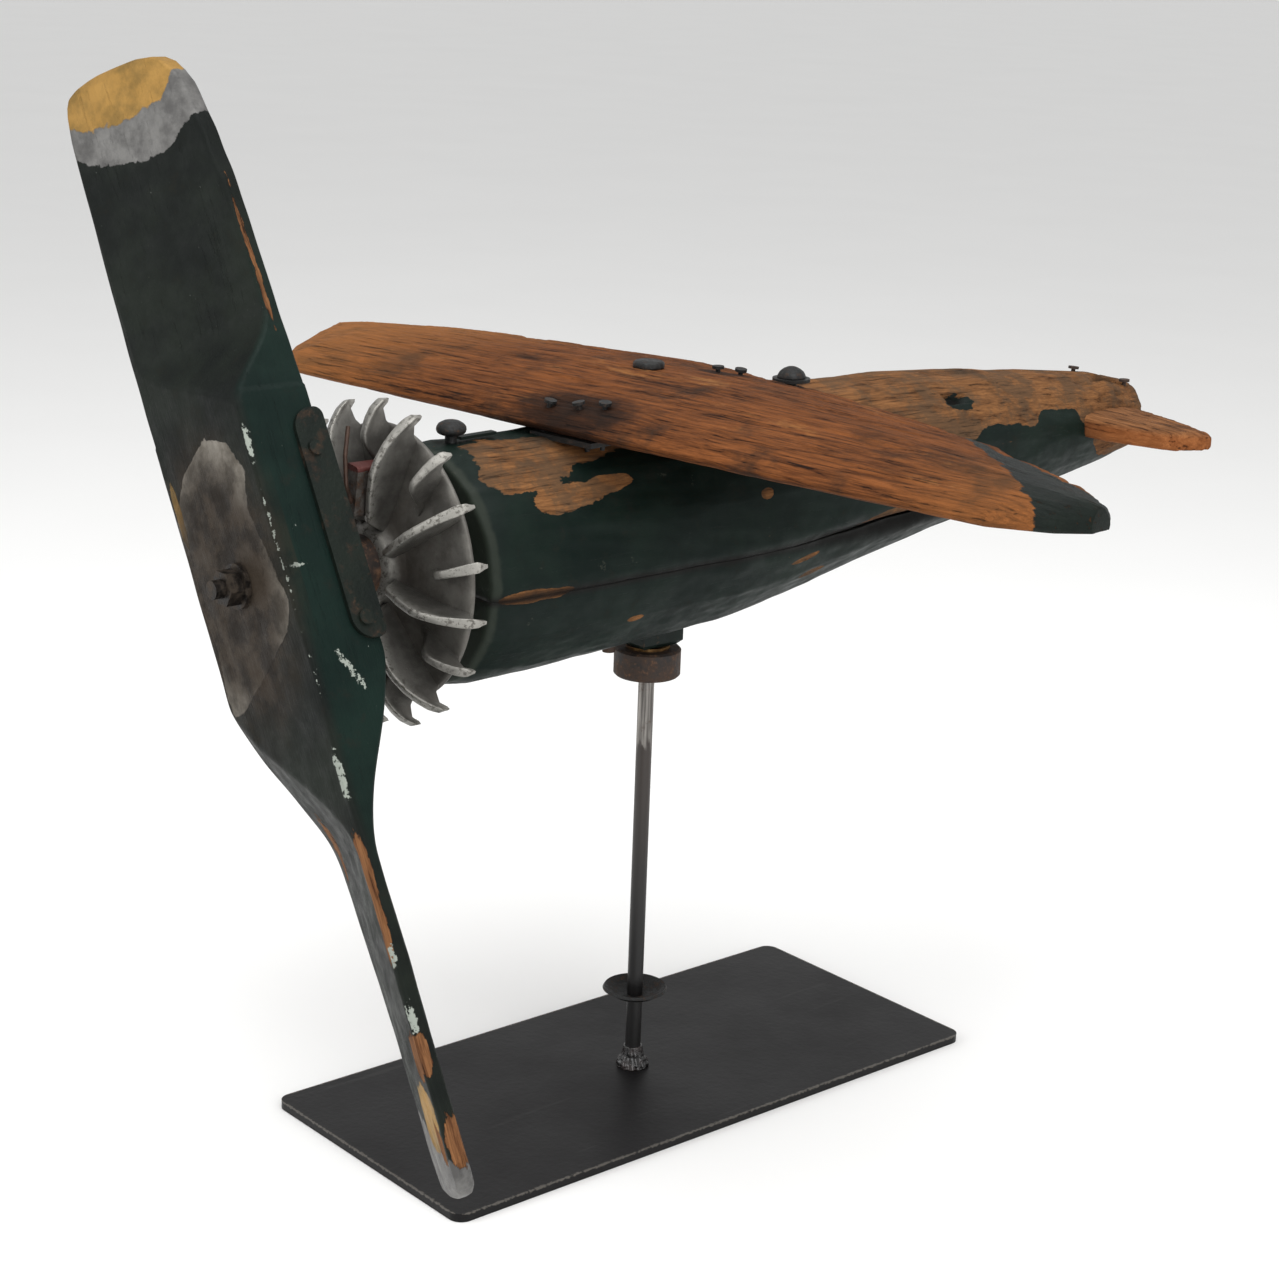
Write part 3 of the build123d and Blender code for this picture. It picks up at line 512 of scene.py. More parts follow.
def blend(mask, first, last):
    """Value that goes from the first to the last as the mask goes from 0 to 1."""
    return Signal(add(mask.tree, "Mix", {0: mask, 2: first, 3: last}, data_type="FLOAT").outputs[0])


AXLE_HEIGHT = 0.350
SEAM, UPPER_GAP, LOWER_GAP = 0.338, 0.0017, -0.0012
CORNER_ROUNDING, WARPED_ROUNDING, ROUNDING_ANGLE = 0.0010, 0.0055, 0.07
FACETS, FLATNESS = 14, 0.65
FIN_SLOT_DEPTH, OLD_SLOT_DEPTH, TAIL_WEAR = 0.009, 0.0045, 0.0016
nose, tail = -0.165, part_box("fuselage_upper")[1].y
# Along the body, height of its middle and its radius, in mm.
spine = MM * np.array([
    (-165, 344.3, 64.0), (-157, 344.4, 66.0), (-150, 344.5, 66.8), (-120, 344.0, 66.6), (-60, 346.0, 66.6),
    (20, 349.9, 66.0), (60, 353.3, 64.2), (100, 357.9, 61.3), (140, 362.3, 57.7), (180, 365.2, 54.0),
    (220, 367.0, 49.8), (260, 368.8, 45.8), (300, 369.7, 40.9), (340, 370.3, 35.9), (380, 371.2, 30.6),
    (412, 371.2, 24.2)])


def gape(y):
    """How far the glue line has opened along the fuselage, from 0 to 1."""
    return np.interp(y / MM, (40, 75, 107, 150, 215, 250, 300), (0, 0.25, 0.55, 1, 1, 0.5, 0))


def eased(value, low, high):
    """Smooth step from 0 to 1."""
    share = unit((value - low) / (high - low))
    return share * share * (3 - 2 * share)


def boxed(value, middle, half):
    """1 within a half width of the middle, falling to 0 over a quarter of it outside."""
    return 1.0 - eased(np.abs(value - middle), half, half * 1.25)


def fuselage_ring(y, upper):
    """Rings of one plank at places along it: the outer arc from seam corner to seam corner, with a
    radius pulled in towards a many-sided figure, then back across the flat glued face."""
    y = y[:, None]
    centre = np.interp(y, spine[:, 0], spine[:, 1])
    girth = np.interp(y, spine[:, 0], spine[:, 2])
    edge_height = SEAM + (UPPER_GAP if upper else LOWER_GAP) * gape(y)
    corner = np.arcsin(np.clip((centre - edge_height) / girth, -1.0, 0.9995))
    share = np.linspace(0.0, 1.0, 190)[None]
    sweep = np.linspace(-1.0, 1.0, 34)[None, 1:-1]
    if upper:
        angle = -corner + (pi + 2 * corner) * share
        edge = np.minimum(angle + corner, pi + corner - angle)
    else:
        angle = pi + corner + (pi - 2 * corner) * share
        edge = np.minimum(angle - pi - corner, 2 * pi - corner - angle)
    side = 2 * pi / FACETS
    facet = np.cos(side / 2) / np.cos((angle + 0.09 * np.sin(9 * y) + 0.1) % side - side / 2)
    radius = girth * (1.0 - FLATNESS + FLATNESS * facet)
    rounding = CORNER_ROUNDING + WARPED_ROUNDING * gape(y)
    radius = radius - rounding * np.exp(-(edge / ROUNDING_ANGLE) ** 2)
    radius = radius + 0.0005 * ripple(11, y / 0.07, np.cos(angle) * 1.2, np.sin(angle) * 1.2)
    radius = radius + 0.00018 * ripple(12, y / 0.03, np.cos(angle) * 8, np.sin(angle) * 8)
    x = radius * np.cos(angle)
    over = (angle > 0.0) & (angle < pi)
    fin_slot = boxed(x, 0.009, 0.0036) * boxed(y, tail - 0.024, 0.0112) * over
    old_slot = boxed(y, 0.217, 0.009) * boxed(angle, radians(50.0), 0.07) * over
    worn_tail = eased(y, 0.335, 0.372) * np.maximum(ripple(13, y / 0.024, angle * 1.9), 0.0) * over
    radius = radius - FIN_SLOT_DEPTH * fin_slot - OLD_SLOT_DEPTH * old_slot - TAIL_WEAR * worn_tail
    radius = np.minimum(radius, np.where(y > -0.15, girth, girth - 0.0002))
    x, z = radius * np.cos(angle), centre + radius * np.sin(angle)
    end_x, start_x = x[:, -1:], x[:, :1]
    flat_x = (start_x + end_x) / 2 + (start_x - end_x) / 2 * sweep
    rise = (0.0003 + 0.0042 * gape(y) * np.abs(sweep) ** 2.5) * (1 if upper else -1)
    flat_z = (z[:, -1:] + z[:, :1]) / 2 + rise * (1 - sweep ** 6)
    return points_of(np.concatenate([x, flat_x], 1), y, np.concatenate([z, flat_z], 1))


def inset(ring, shares, y):
    """Copies of an end ring drawn in towards its middle, for a flat end with a soft rim."""
    middle = ring.mean(0)
    rings = middle + (ring - middle) * np.array(shares)[:, None, None]
    rings[..., 1] = np.array(y)[:, None]
    return rings


def on_axle(ring, radius, y):
    """The ring's points brought on to circles about the axle, each at its own angle."""
    angle = np.arctan2(ring[:, 2] - AXLE_HEIGHT, ring[:, 0])[None]
    radius, y = np.array(radius)[:, None], np.array(y)[:, None]
    return points_of(radius * np.cos(angle), y, AXLE_HEIGHT + radius * np.sin(angle))


outer = fuselage_ring(np.linspace(nose, tail, 250), True)
bore = MM * np.array([
    (2.0, -54.0), (14.0, -54.5), (14.0, -69.5), (8.1, -70.0), (8.1, -164.0), (8.9, -165.0)])
bore = on_axle(outer[0], *bore.T)
front = inset(outer[0], (0.42, 0.7, 0.93), (nose,) * 3)
back = inset(outer[-1], (0.9, 0.6, 0.3), (tail,) * 3)
upper_rings = np.concatenate([bore, front, outer, back])
lower_end = 0.356
outer = fuselage_ring(np.linspace(nose, lower_end, 228), False)
front = inset(outer[0], (0.3, 0.65, 0.93), (nose,) * 3)
lower_rings = np.concatenate([front, outer, inset(outer[-1], (0.6,), (lower_end,))])


def round_the_body(points):
    """Place along the fuselage in mm, and angle about its centre in degrees from the port side."""
    y = points[:, 1]
    centre = np.interp(y, spine[:, 0], spine[:, 1])
    return y / MM, np.degrees(np.arctan2(points[:, 2] - centre, points[:, 0]))


def patch(along, around, place, turn, half_length, half_turn):
    """A soft oval mark: a half at its rim, 1 inside and 0 outside."""
    reach = np.hypot((along - place) / half_length, (around - turn) / half_turn)
    return unit(0.5 + (1.0 - reach) * 1.1)


def patches(along, around, spots):
    """The strongest of several oval marks."""
    return np.max([patch(along, around, *spot) for spot in spots], 0)


def bare_fuselage(points):
    """Where the paint has gone: the top of the nose, strips by the glue line, and most of the tail."""
    y, angle = round_the_body(points)
    both = np.where(np.abs(angle) > 90, np.sign(angle) * 180 - angle, angle)
    both = both + 5.0 * ripple(17, y / 52.0, angle / 60.0)
    port = points[:, 0] > 0
    spots = [
        (-118, 66, 34, 22), (-135, 56, 20, 12), (-104, 39, 24, 7), (-92, 66, 46, 12), (-76, 42, 17, 4.5),
        (-136, -5, 24, 3.4), (33, 20, 5, 3), (165, -17, 46, 4), (-60, -30, 6, 2), (84, -40, 10, 2.5),
        (232, -14, 26, 5), (70, -24, 12, 1.6)]
    bare = patches(y, angle, spots)
    far = [(-96, 122, 30, 11), (-30, 158, 9, 4), (-120, 187, 30, 3), (10, 140, 16, 5), (60, 196, 40, 3)]
    bare = np.maximum(bare, patches(y, angle % 360, far))
    stations = (100, 112, 128, 180, 240, 290, 330, 345, 360, 412)
    floor = np.interp(y, stations, (100, 60, 30, 24, 20, 27, 24, 4, -30, -60))
    rear = unit(0.5 + (both - floor) / 14.0) * (y > 95)
    left_green = patches(y, angle, ((217, 48, 15, 10), (176, 118, 20, 5), (297, 140, 30, 6)))
    return unit(np.maximum(bare, rear) - 0.75 * left_green * (y > 95) - 0.2 * ~port * (y > 95) * (both < 40))


def nose_painted_light(points):
    """Painted light, partly dirty grey-green paint: the front face and the ring behind it are lightened where
    the wheel shades them.
    """
    return unit(0.5 + (-160.0 - points[:, 1] / MM) / 6.0)


def glue_line_shade_and_dirt(points):
    """Painted shade with some dirt: dark in and beside the gaping glue line and in the two slots."""
    y, angle = round_the_body(points)
    reach = np.abs(points[:, 2] - SEAM) / (0.0016 + 0.004 * gape(points[:, 1]))
    old_slot = patch(y, angle, 217.0, 50.0, 8.0, 5.0)
    fin_slot = patch(y, points[:, 0] / MM, tail / MM - 24.0, 9.0, 12.0, 4.0) * (angle > 0)
    return unit(np.max([1.25 - 0.5 * reach, old_slot, fin_slot], 0))


material, surface, place = new_material("Green painted fuselage", 0.5, specular=0.1)
lengthwise = turned_place(place, turn=(0.0, 0.0, -pi / 2))
bare = torn(mark(place, "bare"), turned_place(place, stretch=(1.0, 0.5, 1.0)), 64.0, 1.5, 0.02)
wood = use(grain, Place=lengthwise, Dark=(84, 56, 34), Pale=(142, 98, 60), Stain=0.9, Cracks=0.4)
coat = use(paint, Place=place, Teal=0.4)
blotch = step(noise(lengthwise, 34.0, 7.0, 0.72), 0.46, 0.58)
timber = shade(blotch * 0.62, wood["Colour"], (74, 60, 46))
nicks = noise(turned_place(place, stretch=(1.0, 0.3, 1.0)), 260.0, 5.0, 0.7)
nicked = maths("MAXIMUM", bare, step(nicks, 0.735, 0.75))
primer = step(abs(noise(place, 48.0, 6.0, 0.7) - 0.69), 0.012, 0.004, 0.0, 0.5)
painted_tone = shade(primer, coat["Colour"], (66, 68, 60))
# Painted light with some dirty paint: the nose's front face and rim are lightened grey-green, standing in for
# light on a face that the wheel shades.
nose_light_mask = torn(mark(place, "nose_light_mask"), place, 80.0, 0.8, 0.25)
painted_tone = shade(nose_light_mask * 0.35, painted_tone, (62, 66, 57))
base = shade(nicked, painted_tone, timber)
# Painted shade with some dirt: the glue line and the slots are darkened.
base = shade(mark(place, "dirt_and_shade") * 0.93, base, (16, 15, 14))
relief = (1.0 - nicked) * 0.7 + wood["Height"] * (nicked * 0.75 + 0.12)
wire(
    surface,
    Base_Color=base,
    Roughness=blend(nicked, coat["Roughness"], 0.82),
    Relief=(relief, 0.0007),
)
painted_marks = {"bare": bare_fuselage, "nose_light_mask": nose_painted_light, "dirt_and_shade": glue_line_shade_and_dirt}
for half, rings in (("upper", upper_rings), ("lower", lower_rings)):
    name, node = f"fuselage_{half}_carved", f"fuselage_{half}"
    made_piece(name, [wrapped(rings)], "airframe", material, [node], painted_marks)

# The belly pad and the flat tang on the ridge were painted with the body.
material, surface, place = new_material("Green painted trim", 0.5, specular=0.18)
coat = use(paint, Place=place, Teal=0.35)
chips = step(noise(place, 150.0, 6.0, 0.7), 0.6, 0.63)
base = shade(chips, coat["Colour"], (62, 50, 38))
wire(surface, Base_Color=base, Roughness=coat["Roughness"], Relief=(coat["Height"], 0.0004))
dress(material, "belly_boss", "nose_nail")


# ---------------------------------------------------------------- wing
# One weathered softwood plank, flat below and crowned on top, set a little skew on the ridge. The
# grain has opened into long dark cracks, the trailing edge is worn ragged, and green is left on the
# port tip.
YAW = radians(7.0)
SPAN, CHORD, THICK = 0.618, 0.202, 0.027
LEAD, PORT_SHIFT = 0.098, 0.029
CRACK_DEPTH, SPLIT_DEPTH, LUMP_DEPTH, SPLINTER_DEPTH = 0.0004, 0.0008, 0.0008, 0.0012
wing_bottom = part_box("wing")[0].z
# Along the span, where the chord starts and ends, the thickness, all as shares, and the lift in mm.
stations = np.array([
    (0.0, 0.46, 0.59, 0.42, 3.0), (0.02, 0.33, 0.73, 0.5, 3.0), (0.057, 0.16, 0.84, 0.6, 2.5),
    (0.105, 0.0, 0.9, 0.72, 2.0), (0.383, 0.0, 1.0, 1.0, 0.0), (0.558, 0.0, 0.91, 1.0, 0.0),
    (0.788, 0.0, 0.69, 0.82, 1.0), (0.929, 0.0, 0.45, 0.62, 2.5), (0.979, 0.07, 0.32, 0.54, 3.0),
    (1.0, 0.15, 0.23, 0.47, 3.0)])
crown_share = (0.0, 0.04, 0.12, 0.25, 0.42, 0.6, 0.8, 0.95, 1.0)
crown = (0.3, 0.5, 0.7, 0.88, 1.0, 0.92, 0.7, 0.48, 0.36)


def on_wing(along, across, height):
    """Points given along the span, across the chord and above the underside, in the row's frame."""
    x = along * cos(YAW) - across * sin(YAW)
    return points_of(x, along * sin(YAW) + across * cos(YAW), height + wing_bottom)


def off_wing(points):
    """Span and chord places of points, in mm."""
    x, y = points[:, 0] / MM, points[:, 1] / MM
    return x * cos(YAW) + y * sin(YAW), -x * sin(YAW) + y * cos(YAW)


share = [np.linspace(*run) for run in ((0.001, 0.03, 16), (0.034, 0.966, 250), (0.97, 0.999, 14))]
share = np.concatenate(share)[:, None]
start_share, end_share, thick, rise = [np.interp(share, stations[:, 0], column) for column in stations.T[1:]]
wear = np.maximum(ripple(21, share / 0.035), 0.0) + 0.6 * np.maximum(ripple(22, share / 0.012), 0.0)
first = CHORD * start_share - LEAD + 0.0006 * np.maximum(ripple(23, share / 0.03), 0.0)
last = CHORD * end_share - LEAD - 0.0016 * wear
spread = 0.5 - 0.5 * np.cos(pi * np.linspace(0.0, 1.0, 150))
spread = 0.55 * spread + 0.45 * np.linspace(0.0, 1.0, 150)
top_share, keel_share = spread[None], np.linspace(0.985, 0.015, 60)[None]
last = last - 0.0022 * unit((0.2 - share) / 0.2) * np.maximum(ripple(20, share / 0.016), 0.0)
along = (share - 0.5) * SPAN + PORT_SHIFT
top_height = np.interp(top_share, crown_share, crown)
rim = 1.0 - 0.28 * np.exp(-top_share / 0.012) - 0.3 * np.exp(-(1 - top_share) / 0.015)
across = first + (last - first) * top_share
groove = ripple(24, along / 0.16, across / 0.0042) * 0.5 + ripple(25, along / 0.09, across / 0.0022) * 0.32
cracks = unit(np.abs(groove) - 0.15)
splits = unit(ripple(26, along / 0.12, across / 0.008) - 0.75)
lumps = np.clip(ripple(27, along / 0.06, across / 0.03), 0.0, 2.0) * unit((top_share - 0.55) * 3)
splinters = np.clip(ripple(28, along / 0.02, across / 0.05), 0.0, 2.0) * np.exp(-(1 - top_share) / 0.06)
worn_off = CRACK_DEPTH * cracks + SPLIT_DEPTH * splits + LUMP_DEPTH * lumps + SPLINTER_DEPTH * splinters
top = rise * MM + THICK * thick * top_height * rim - worn_off * unit(thick * 1.2)
chamfer = unit((np.abs(keel_share - 0.5) - 0.46) / 0.025)
sawn = 0.0003 * (1.0 + ripple(29, along / 0.1, keel_share * 30) * 0.5)
keel = rise * MM + THICK * thick * 0.1 * chamfer + sawn
keel_across = first + (last - first) * keel_share
rings = on_wing(along, np.concatenate([across, keel_across], 1), np.concatenate([top, keel], 1))


def tip_paint(points):
    """Green left on the port tip, beyond a slanting line."""
    along, across = off_wing(points)
    margin = np.interp(along, (200.0, 253.0, 294.0, 308.0, 318.0), (28.0, 2.0, -20.0, -24.0, 40.0))
    return unit(0.5 + np.minimum((along + 1.07 * across - 224.0) / 26.0, (margin - across) / 9.0))


def nail_stain(points):
    """Black iron stain round the bent nails, and grime where the plank crosses the ridge."""
    along, across = off_wing(points)
    nails = patch(along, across, 18.0, -86.0, 40.0, 17.0)
    bolt = 0.8 * patch(along, across, 18.0, 36.0, 16.0, 20.0)
    return np.max([nails, bolt, 0.75 * patch(along, across, 44.0, 69.0, 18.0, 15.0)], 0)


material, surface, place = new_material("Weathered wing plank", 0.8, specular=0.12)
along_span = turned_place(place, turn=(0.0, 0.0, -YAW))
wood = use(grain, Place=along_span, Dark=(58, 31, 15), Pale=(138, 82, 42), Stain=0.8, Cracks=0.92)
coat = use(paint, Place=place, Teal=0.15)
green = torn(mark(place, "green"), turned_place(along_span, stretch=(0.4, 1.0, 1.0)), 150.0, 0.7, 0.03)
green = green * (1.0 - wood["Crack"] * 0.7)
stain = torn(mark(place, "stain"), turned_place(along_span, stretch=(0.5, 1.0, 1.0)), 160.0, 0.9, 0.3)
weather = noise(turned_place(along_span, stretch=(0.4, 1.0, 1.0)), 30.0, 7.0, 0.7)
aged = shade(step(weather, 0.42, 0.28, 0.0, 0.45), wood["Colour"], (178, 124, 70))
aged = shade(step(weather, 0.55, 0.68, 0.0, 0.6), aged, (62, 36, 20))
x, y, z = split(place)
# Painted light: the plank is lightened to a golden tone towards both ends, for how light falls along it.
lit_ends_mask = maths("MAXIMUM", step(x, -0.06, -0.26), step(x, 0.22, 0.31, 0.0, 0.35)) * 0.3
painted_light_wood = shade(lit_ends_mask, aged, (190, 130, 72))
base = shade(stain * 0.82, painted_light_wood, (22, 16, 13))
base = shade(green, base, coat["Colour"])
rough = wood["Height"] + weather * 0.8
wire(surface, Base_Color=base, Roughness=step(green, 0.0, 1.0, 0.84, 0.5), Relief=(rough, 0.0013))
rules = {"green": tip_paint, "stain": nail_stain}
made_piece("wing_plank", [wrapped(rings)], "airframe", material, ["wing"], rules)


# ---------------------------------------------------------------- tailplane
# Short weathered board let into the tail: whole on the port side, snapped off near the body on the
# other. Grey-brown on top, redder and cracked along its front edge.
low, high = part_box("tailplane")
reach, stump, front_y, chord = high.x, low.x, low.y, high.y - low.y
middle, half = (low.z + high.z) / 2, (high.z - low.z) / 2
x_share = np.concatenate([np.linspace(0.0, 0.9, 110), np.linspace(0.905, 1.0, 26)])[:, None]
x = stump + (reach - stump) * x_share
front_line = np.interp(x / reach, (-0.3, 0.6, 0.83, 0.97, 1.0), (0.0, 0.0, 0.11, 0.32, 0.45))
back_line = np.interp(x / reach, (-0.3, 0.4, 0.7, 0.93, 1.0), (1.0, 0.95, 0.83, 0.66, 0.55))
front_edge = front_line * chord + front_y + 0.0004 * (1 + ripple(31, x / 0.02))
back_edge = back_line * chord + front_y - 0.0008 * (1 + ripple(32, x / 0.012))
around = full_turn(150)[None]
cosine, sine = np.cos(around), np.sin(around)
flat, upright = np.sign(cosine) * np.abs(cosine) ** 0.35, np.sign(sine) * np.abs(sine) ** 0.4
y = (front_edge + back_edge) / 2 + (back_edge - front_edge) / 2 * flat
thin = half * np.interp(x / reach, (-0.3, 0.35, 0.9, 1.0), (1.0, 1.0, 0.72, 0.5))
thin = thin * (1.0 - 0.25 * unit(flat) ** 2)
z = middle + upright * thin - 0.0005 * np.abs(ripple(33, x / 0.09, y / 0.0035)) - 0.0004
splinter_length, splintered_zone = 0.0045, 0.006
jagged = splinter_length * ripple(34, y / 0.008, z / 0.01) * np.exp(-(x - stump) / splintered_zone)
board = points_of(np.maximum(x + np.abs(jagged), stump), y, np.clip(z, low.z, high.z))
material, surface, place = new_material("Weathered tail board", 0.82, specular=0.12)
wood = use(grain, Place=place, Dark=(62, 37, 22), Pale=(158, 108, 68), Stain=0.6, Cracks=0.6)
x, y, z = split(place)
upper_face = step(z, middle + 0.001, middle + half * 0.75)
foot_red = shade(step(x, 0.02, 0.06), (88, 40, 23), (150, 84, 40))
base = shade((1.0 - upper_face) * 0.5, wood["Colour"], foot_red)
base = shade(wood["Crack"] * 0.7, base, (44, 30, 22))
wire(surface, Base_Color=base, Relief=(wood["Height"], 0.001))
made_piece("tail_board_weathered", [wrapped(board)], "airframe", material, ["tailplane"])


# ---------------------------------------------------------------- propeller
# Carved from one squared block: the hub keeps the block's full depth, and each blade is a slab left
# between two opposite corners that were cut away, so the two blades have opposite slopes. Green oil
# paint with silver and ochre on the tips and a worn silver patch under the nut.
BLADE_TURN = radians(30.0)
low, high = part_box("axle_washer")
block_front = high.y
block_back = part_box("propeller_strap")[1].y - 0.0025
upper_reach, lower_reach = 0.290, 0.327
HALF, HUB_TOP, HUB_FOOT = 0.045, 0.084, 0.050
EDGE, SLAB, ARRIS, CROWN, TIP_ROUNDING = 0.0075, 0.0012, 0.0022, 0.0016, 0.006


def on_blade(across, depth, along):
    """Points across the blade, along Y and out along the upper blade, in the row's frame."""
    x = across * cos(BLADE_TURN) - along * sin(BLADE_TURN)
    z = AXLE_HEIGHT + across * sin(BLADE_TURN) + along * cos(BLADE_TURN)
    return points_of(x, depth, z)


def off_blade(points):
    """Across, depth and along of points, in mm."""
    x, z = points[:, 0] / MM, (points[:, 2] - AXLE_HEIGHT) / MM
    across = x * cos(BLADE_TURN) + z * sin(BLADE_TURN)
    return across, points[:, 1] / MM, -x * sin(BLADE_TURN) + z * cos(BLADE_TURN)


runs = (
    (-326.9, -322, 12), (-321, -306, 14), (-304, -170, 70), (-168.5, -50, 84), (-48, 82, 66),
    (83.5, 170, 62), (172, 255, 44), (257, 279, 20), (280, 289.9, 24))
along = MM * np.concatenate([np.linspace(*run) for run in runs])[:, None]
left = MM * np.interp(
    along / MM,
    (-327, -325.5, -322, -316, -308, -270, -240, -200, -162, -110, -50, 84, 200, 262, 276, 281, 285, 288,
     289.5, 290),
    (3, -8, -13.5, -16.5, -18, -20, -21.5, -28, -36, -41.5, -45, -45, -43, -40, -38, -36.5, -34, -29, -23,
     -18))
right = MM * np.interp(
    along / MM,
    (-327, -325.5, -322, -316, -308, -240, -50, 84, 200, 250, 264, 272, 279, 284, 287.5, 289.5, 290),
    (20, 31, 36, 39.5, 40.6, 41.5, 44.8, 45, 39, 34, 32, 29.5, 25.5, 20, 10, -4, -10))
left = left + 0.0005 * (1 + ripple(41, along / 0.05)) * (np.abs(along) > 0.09)
right = right - 0.0006 * (1 + ripple(42, along / 0.04)) * (np.abs(along) > 0.09)
slab = SLAB / (2 * HALF)
scoop = eased(along, HUB_TOP - 0.004, HUB_TOP + 0.052) ** 0.8
upper_cut = np.maximum(slab, scoop)
lower_cut = np.maximum(slab, eased(-along, HUB_FOOT - 0.004, HUB_FOOT + 0.105))
run, rise = 2 * HALF - EDGE, block_back - block_front - EDGE
span_share = np.linspace(0.0, 1.0, 84)[None]
span_share = 0.4 * span_share + 0.6 * (0.5 - 0.5 * np.cos(pi * span_share))
across = left + (right - left) * span_share


def corner_cut(distance, cut, depth):
    """Depth taken off at a distance from a corner, for a flat cut that runs cut along one face."""
    return depth * unit(1.0 - distance / cut)


cuts = (upper_cut * run, upper_cut * rise), (lower_cut * run, lower_cut * rise)
front_face = block_front + corner_cut(HALF - across, *cuts[0]) + corner_cut(across + HALF, *cuts[1])
back_face = block_back - corner_cut(across + HALF, *cuts[0]) - corner_cut(HALF - across, *cuts[1])
belly = np.sin(pi * span_share)
swell = CROWN * belly * np.maximum(eased(along, 0.12, 0.2), eased(-along, 0.14, 0.24))
front_face = front_face - swell + 0.0003 * (1 + ripple(43, along / 0.05, across / 0.02))
back_face = back_face + swell * 0.6 - 0.0003 * (1 + ripple(44, along / 0.05, across / 0.02))
front_face = np.maximum(front_face, block_front)
back_face = np.minimum(back_face, block_back)
middle_face = (front_face + back_face) / 2
half_depth = (back_face - front_face) / 2
to_end = np.minimum(upper_reach - along, along + lower_reach)
tip = np.minimum(1.0, 0.35 + 0.65 * np.sqrt(unit(to_end / TIP_ROUNDING)))
to_rim = np.minimum(across - left, right - across)
round_over = np.sqrt(unit(1.0 - unit(1.0 - to_rim / ARRIS) ** 2 * 0.86))
softened = np.maximum(half_depth - ARRIS, 0.0) + np.minimum(half_depth, ARRIS) * round_over
softened = np.minimum(half_depth, softened) * tip
front_face, back_face = middle_face - softened, middle_face + softened
side = np.linspace(0.0, 1.0, 32)[None, 1:-1]
right_side = front_face[:, -1:] + (back_face[:, -1:] - front_face[:, -1:]) * side
left_side = back_face[:, :1] + (front_face[:, :1] - back_face[:, :1]) * side
right_across, left_across = (np.broadcast_to(edge, right_side.shape) for edge in (right, left))
ring_across = np.concatenate([across, right_across, across[:, ::-1], left_across], 1)
ring_depth = np.concatenate([front_face, right_side, back_face[:, ::-1], left_side], 1)
rings = np.stack([ring_across, ring_depth])
for smoothing in range(2):
    rings = 0.5 * rings + 0.25 * (np.roll(rings, 1, 2) + np.roll(rings, -1, 2))
blade_rings = on_blade(*rings, along)


def silver_tips(points):
    """Silver paint on the ends of both blades."""
    across, depth, along = off_blade(points)
    places = (-43, -36, -25, -11, 1, 10, 20, 27, 37)
    line = np.interp(across, places, (256, 250, 243, 238, 234, 233, 236, 241, 248))
    upper = unit(0.5 + (along - line) / 16.0)
    lower = 0.86 * unit(0.5 + (-along - 286.0 - 0.5 * across) / 22.0)
    return np.maximum(upper, lower)


def ochre_tips(points):
    """Ochre paint over the silver at the very ends, and a streak of it beside the hub's patch."""
    across, depth, along = off_blade(points)
    line = np.interp(across, (-38, -30, -16, -6, 3, 19, 31, 36), (270, 265, 261, 260, 259, 260, 259, 256))
    upper = unit(0.5 + (along - line) / 14.0)
    worn = patch(across, along, 33.0, 256.0, 9.0, 20.0)
    lower = patch(across, along, 22.0, -286.0, 14.0, 18.0)
    streak = patch(across, along, -38.0, 50.0, 3.4, 20.0) * (depth < -277)
    return np.max([unit(upper - worn), lower, 0.9 * streak], 0)


def hub_silver(points):
    """Worn silver patch on the front of the hub, round the nut."""
    across, depth, along = off_blade(points)
    outline_along = (-60, -48, -34, -20, -3, 14, 32, 50, 67, 77)
    right_line = np.interp(along, outline_along, (-30, 0, 33, 40, 36, 32, 28, 34, 28, 8))
    left_line = np.interp(along, outline_along, (-40, -42, -41, -40, -43, -46, -46, -42, -24, 4))
    inside = np.min([right_line - across, across - left_line, along + 60, 78 - along], 0)
    return unit(0.5 + inside / 11.0) * (depth < -277.0)


def grease(points):
    """Dark grease thrown from the nut, fading outwards."""
    across, depth, along = off_blade(points)
    round_nut = 1.85 - 0.66 * np.hypot((across + 8.0) / 24.0, (along - 2.0) / 36.0)
    below = 1.0 - 0.42 * np.hypot((across + 14.0) / 24.0, (along + 30.0) / 32.0)
    return unit(np.maximum(round_nut, below)) * (depth < -270.0)


def blade_bare(points):
    """Chips to bare wood: a long strip on the lower blade's edge and smaller ones on the arrises."""
    across, depth, along = off_blade(points)
    spots = [(-282, -176, 4.5, 42), (-278, -255, 4, 12), (-273, -299, 6, 13), (-263, -215, 3, 10)]
    port = patches(depth, along, spots) * (across > 28)
    wear = patch(depth, along, -241, 158, 1.8, 50) * (across > 33) * 0.7
    return np.max([port, wear, 0.72 * patch(across, along, -20, -140, 8, 20)], 0)


def blade_white(points):
    """White filler splashed on the hub's front arris and on the ridge of the lower blade."""
    across, depth, along = off_blade(points)
    arris = patches(depth, along, [(-280, 2, 2.5, 40), (-280, -62, 2.5, 30), (-278, 62, 1.8, 12)])
    ridge = patches(depth, along, [(-279, -112, 2.0, 13), (-278, -236, 2.4, 9), (-279, -205, 2.0, 6)])
    slanted = patch(depth + 0.5 * (along + 62), along, -257, -62, 3.0, 12.0)
    splash = np.maximum(patch(depth, along, -271, -4, 8, 1.8), slanted)
    arris = arris * eased(across, 42.4, 44.2)
    return np.max([0.68 * arris, 0.58 * splash * (across > 44), 0.66 * ridge * (across > 38)], 0)


def hub_teal(points):
    """The hub's port side and the fresh paint on it look greener than the weathered front."""
    across, depth, along = off_blade(points)
    return 0.7 * eased(across, 38.0, 44.0) * eased(along, -190.0, -120.0) * eased(depth, -279.0, -272.0)


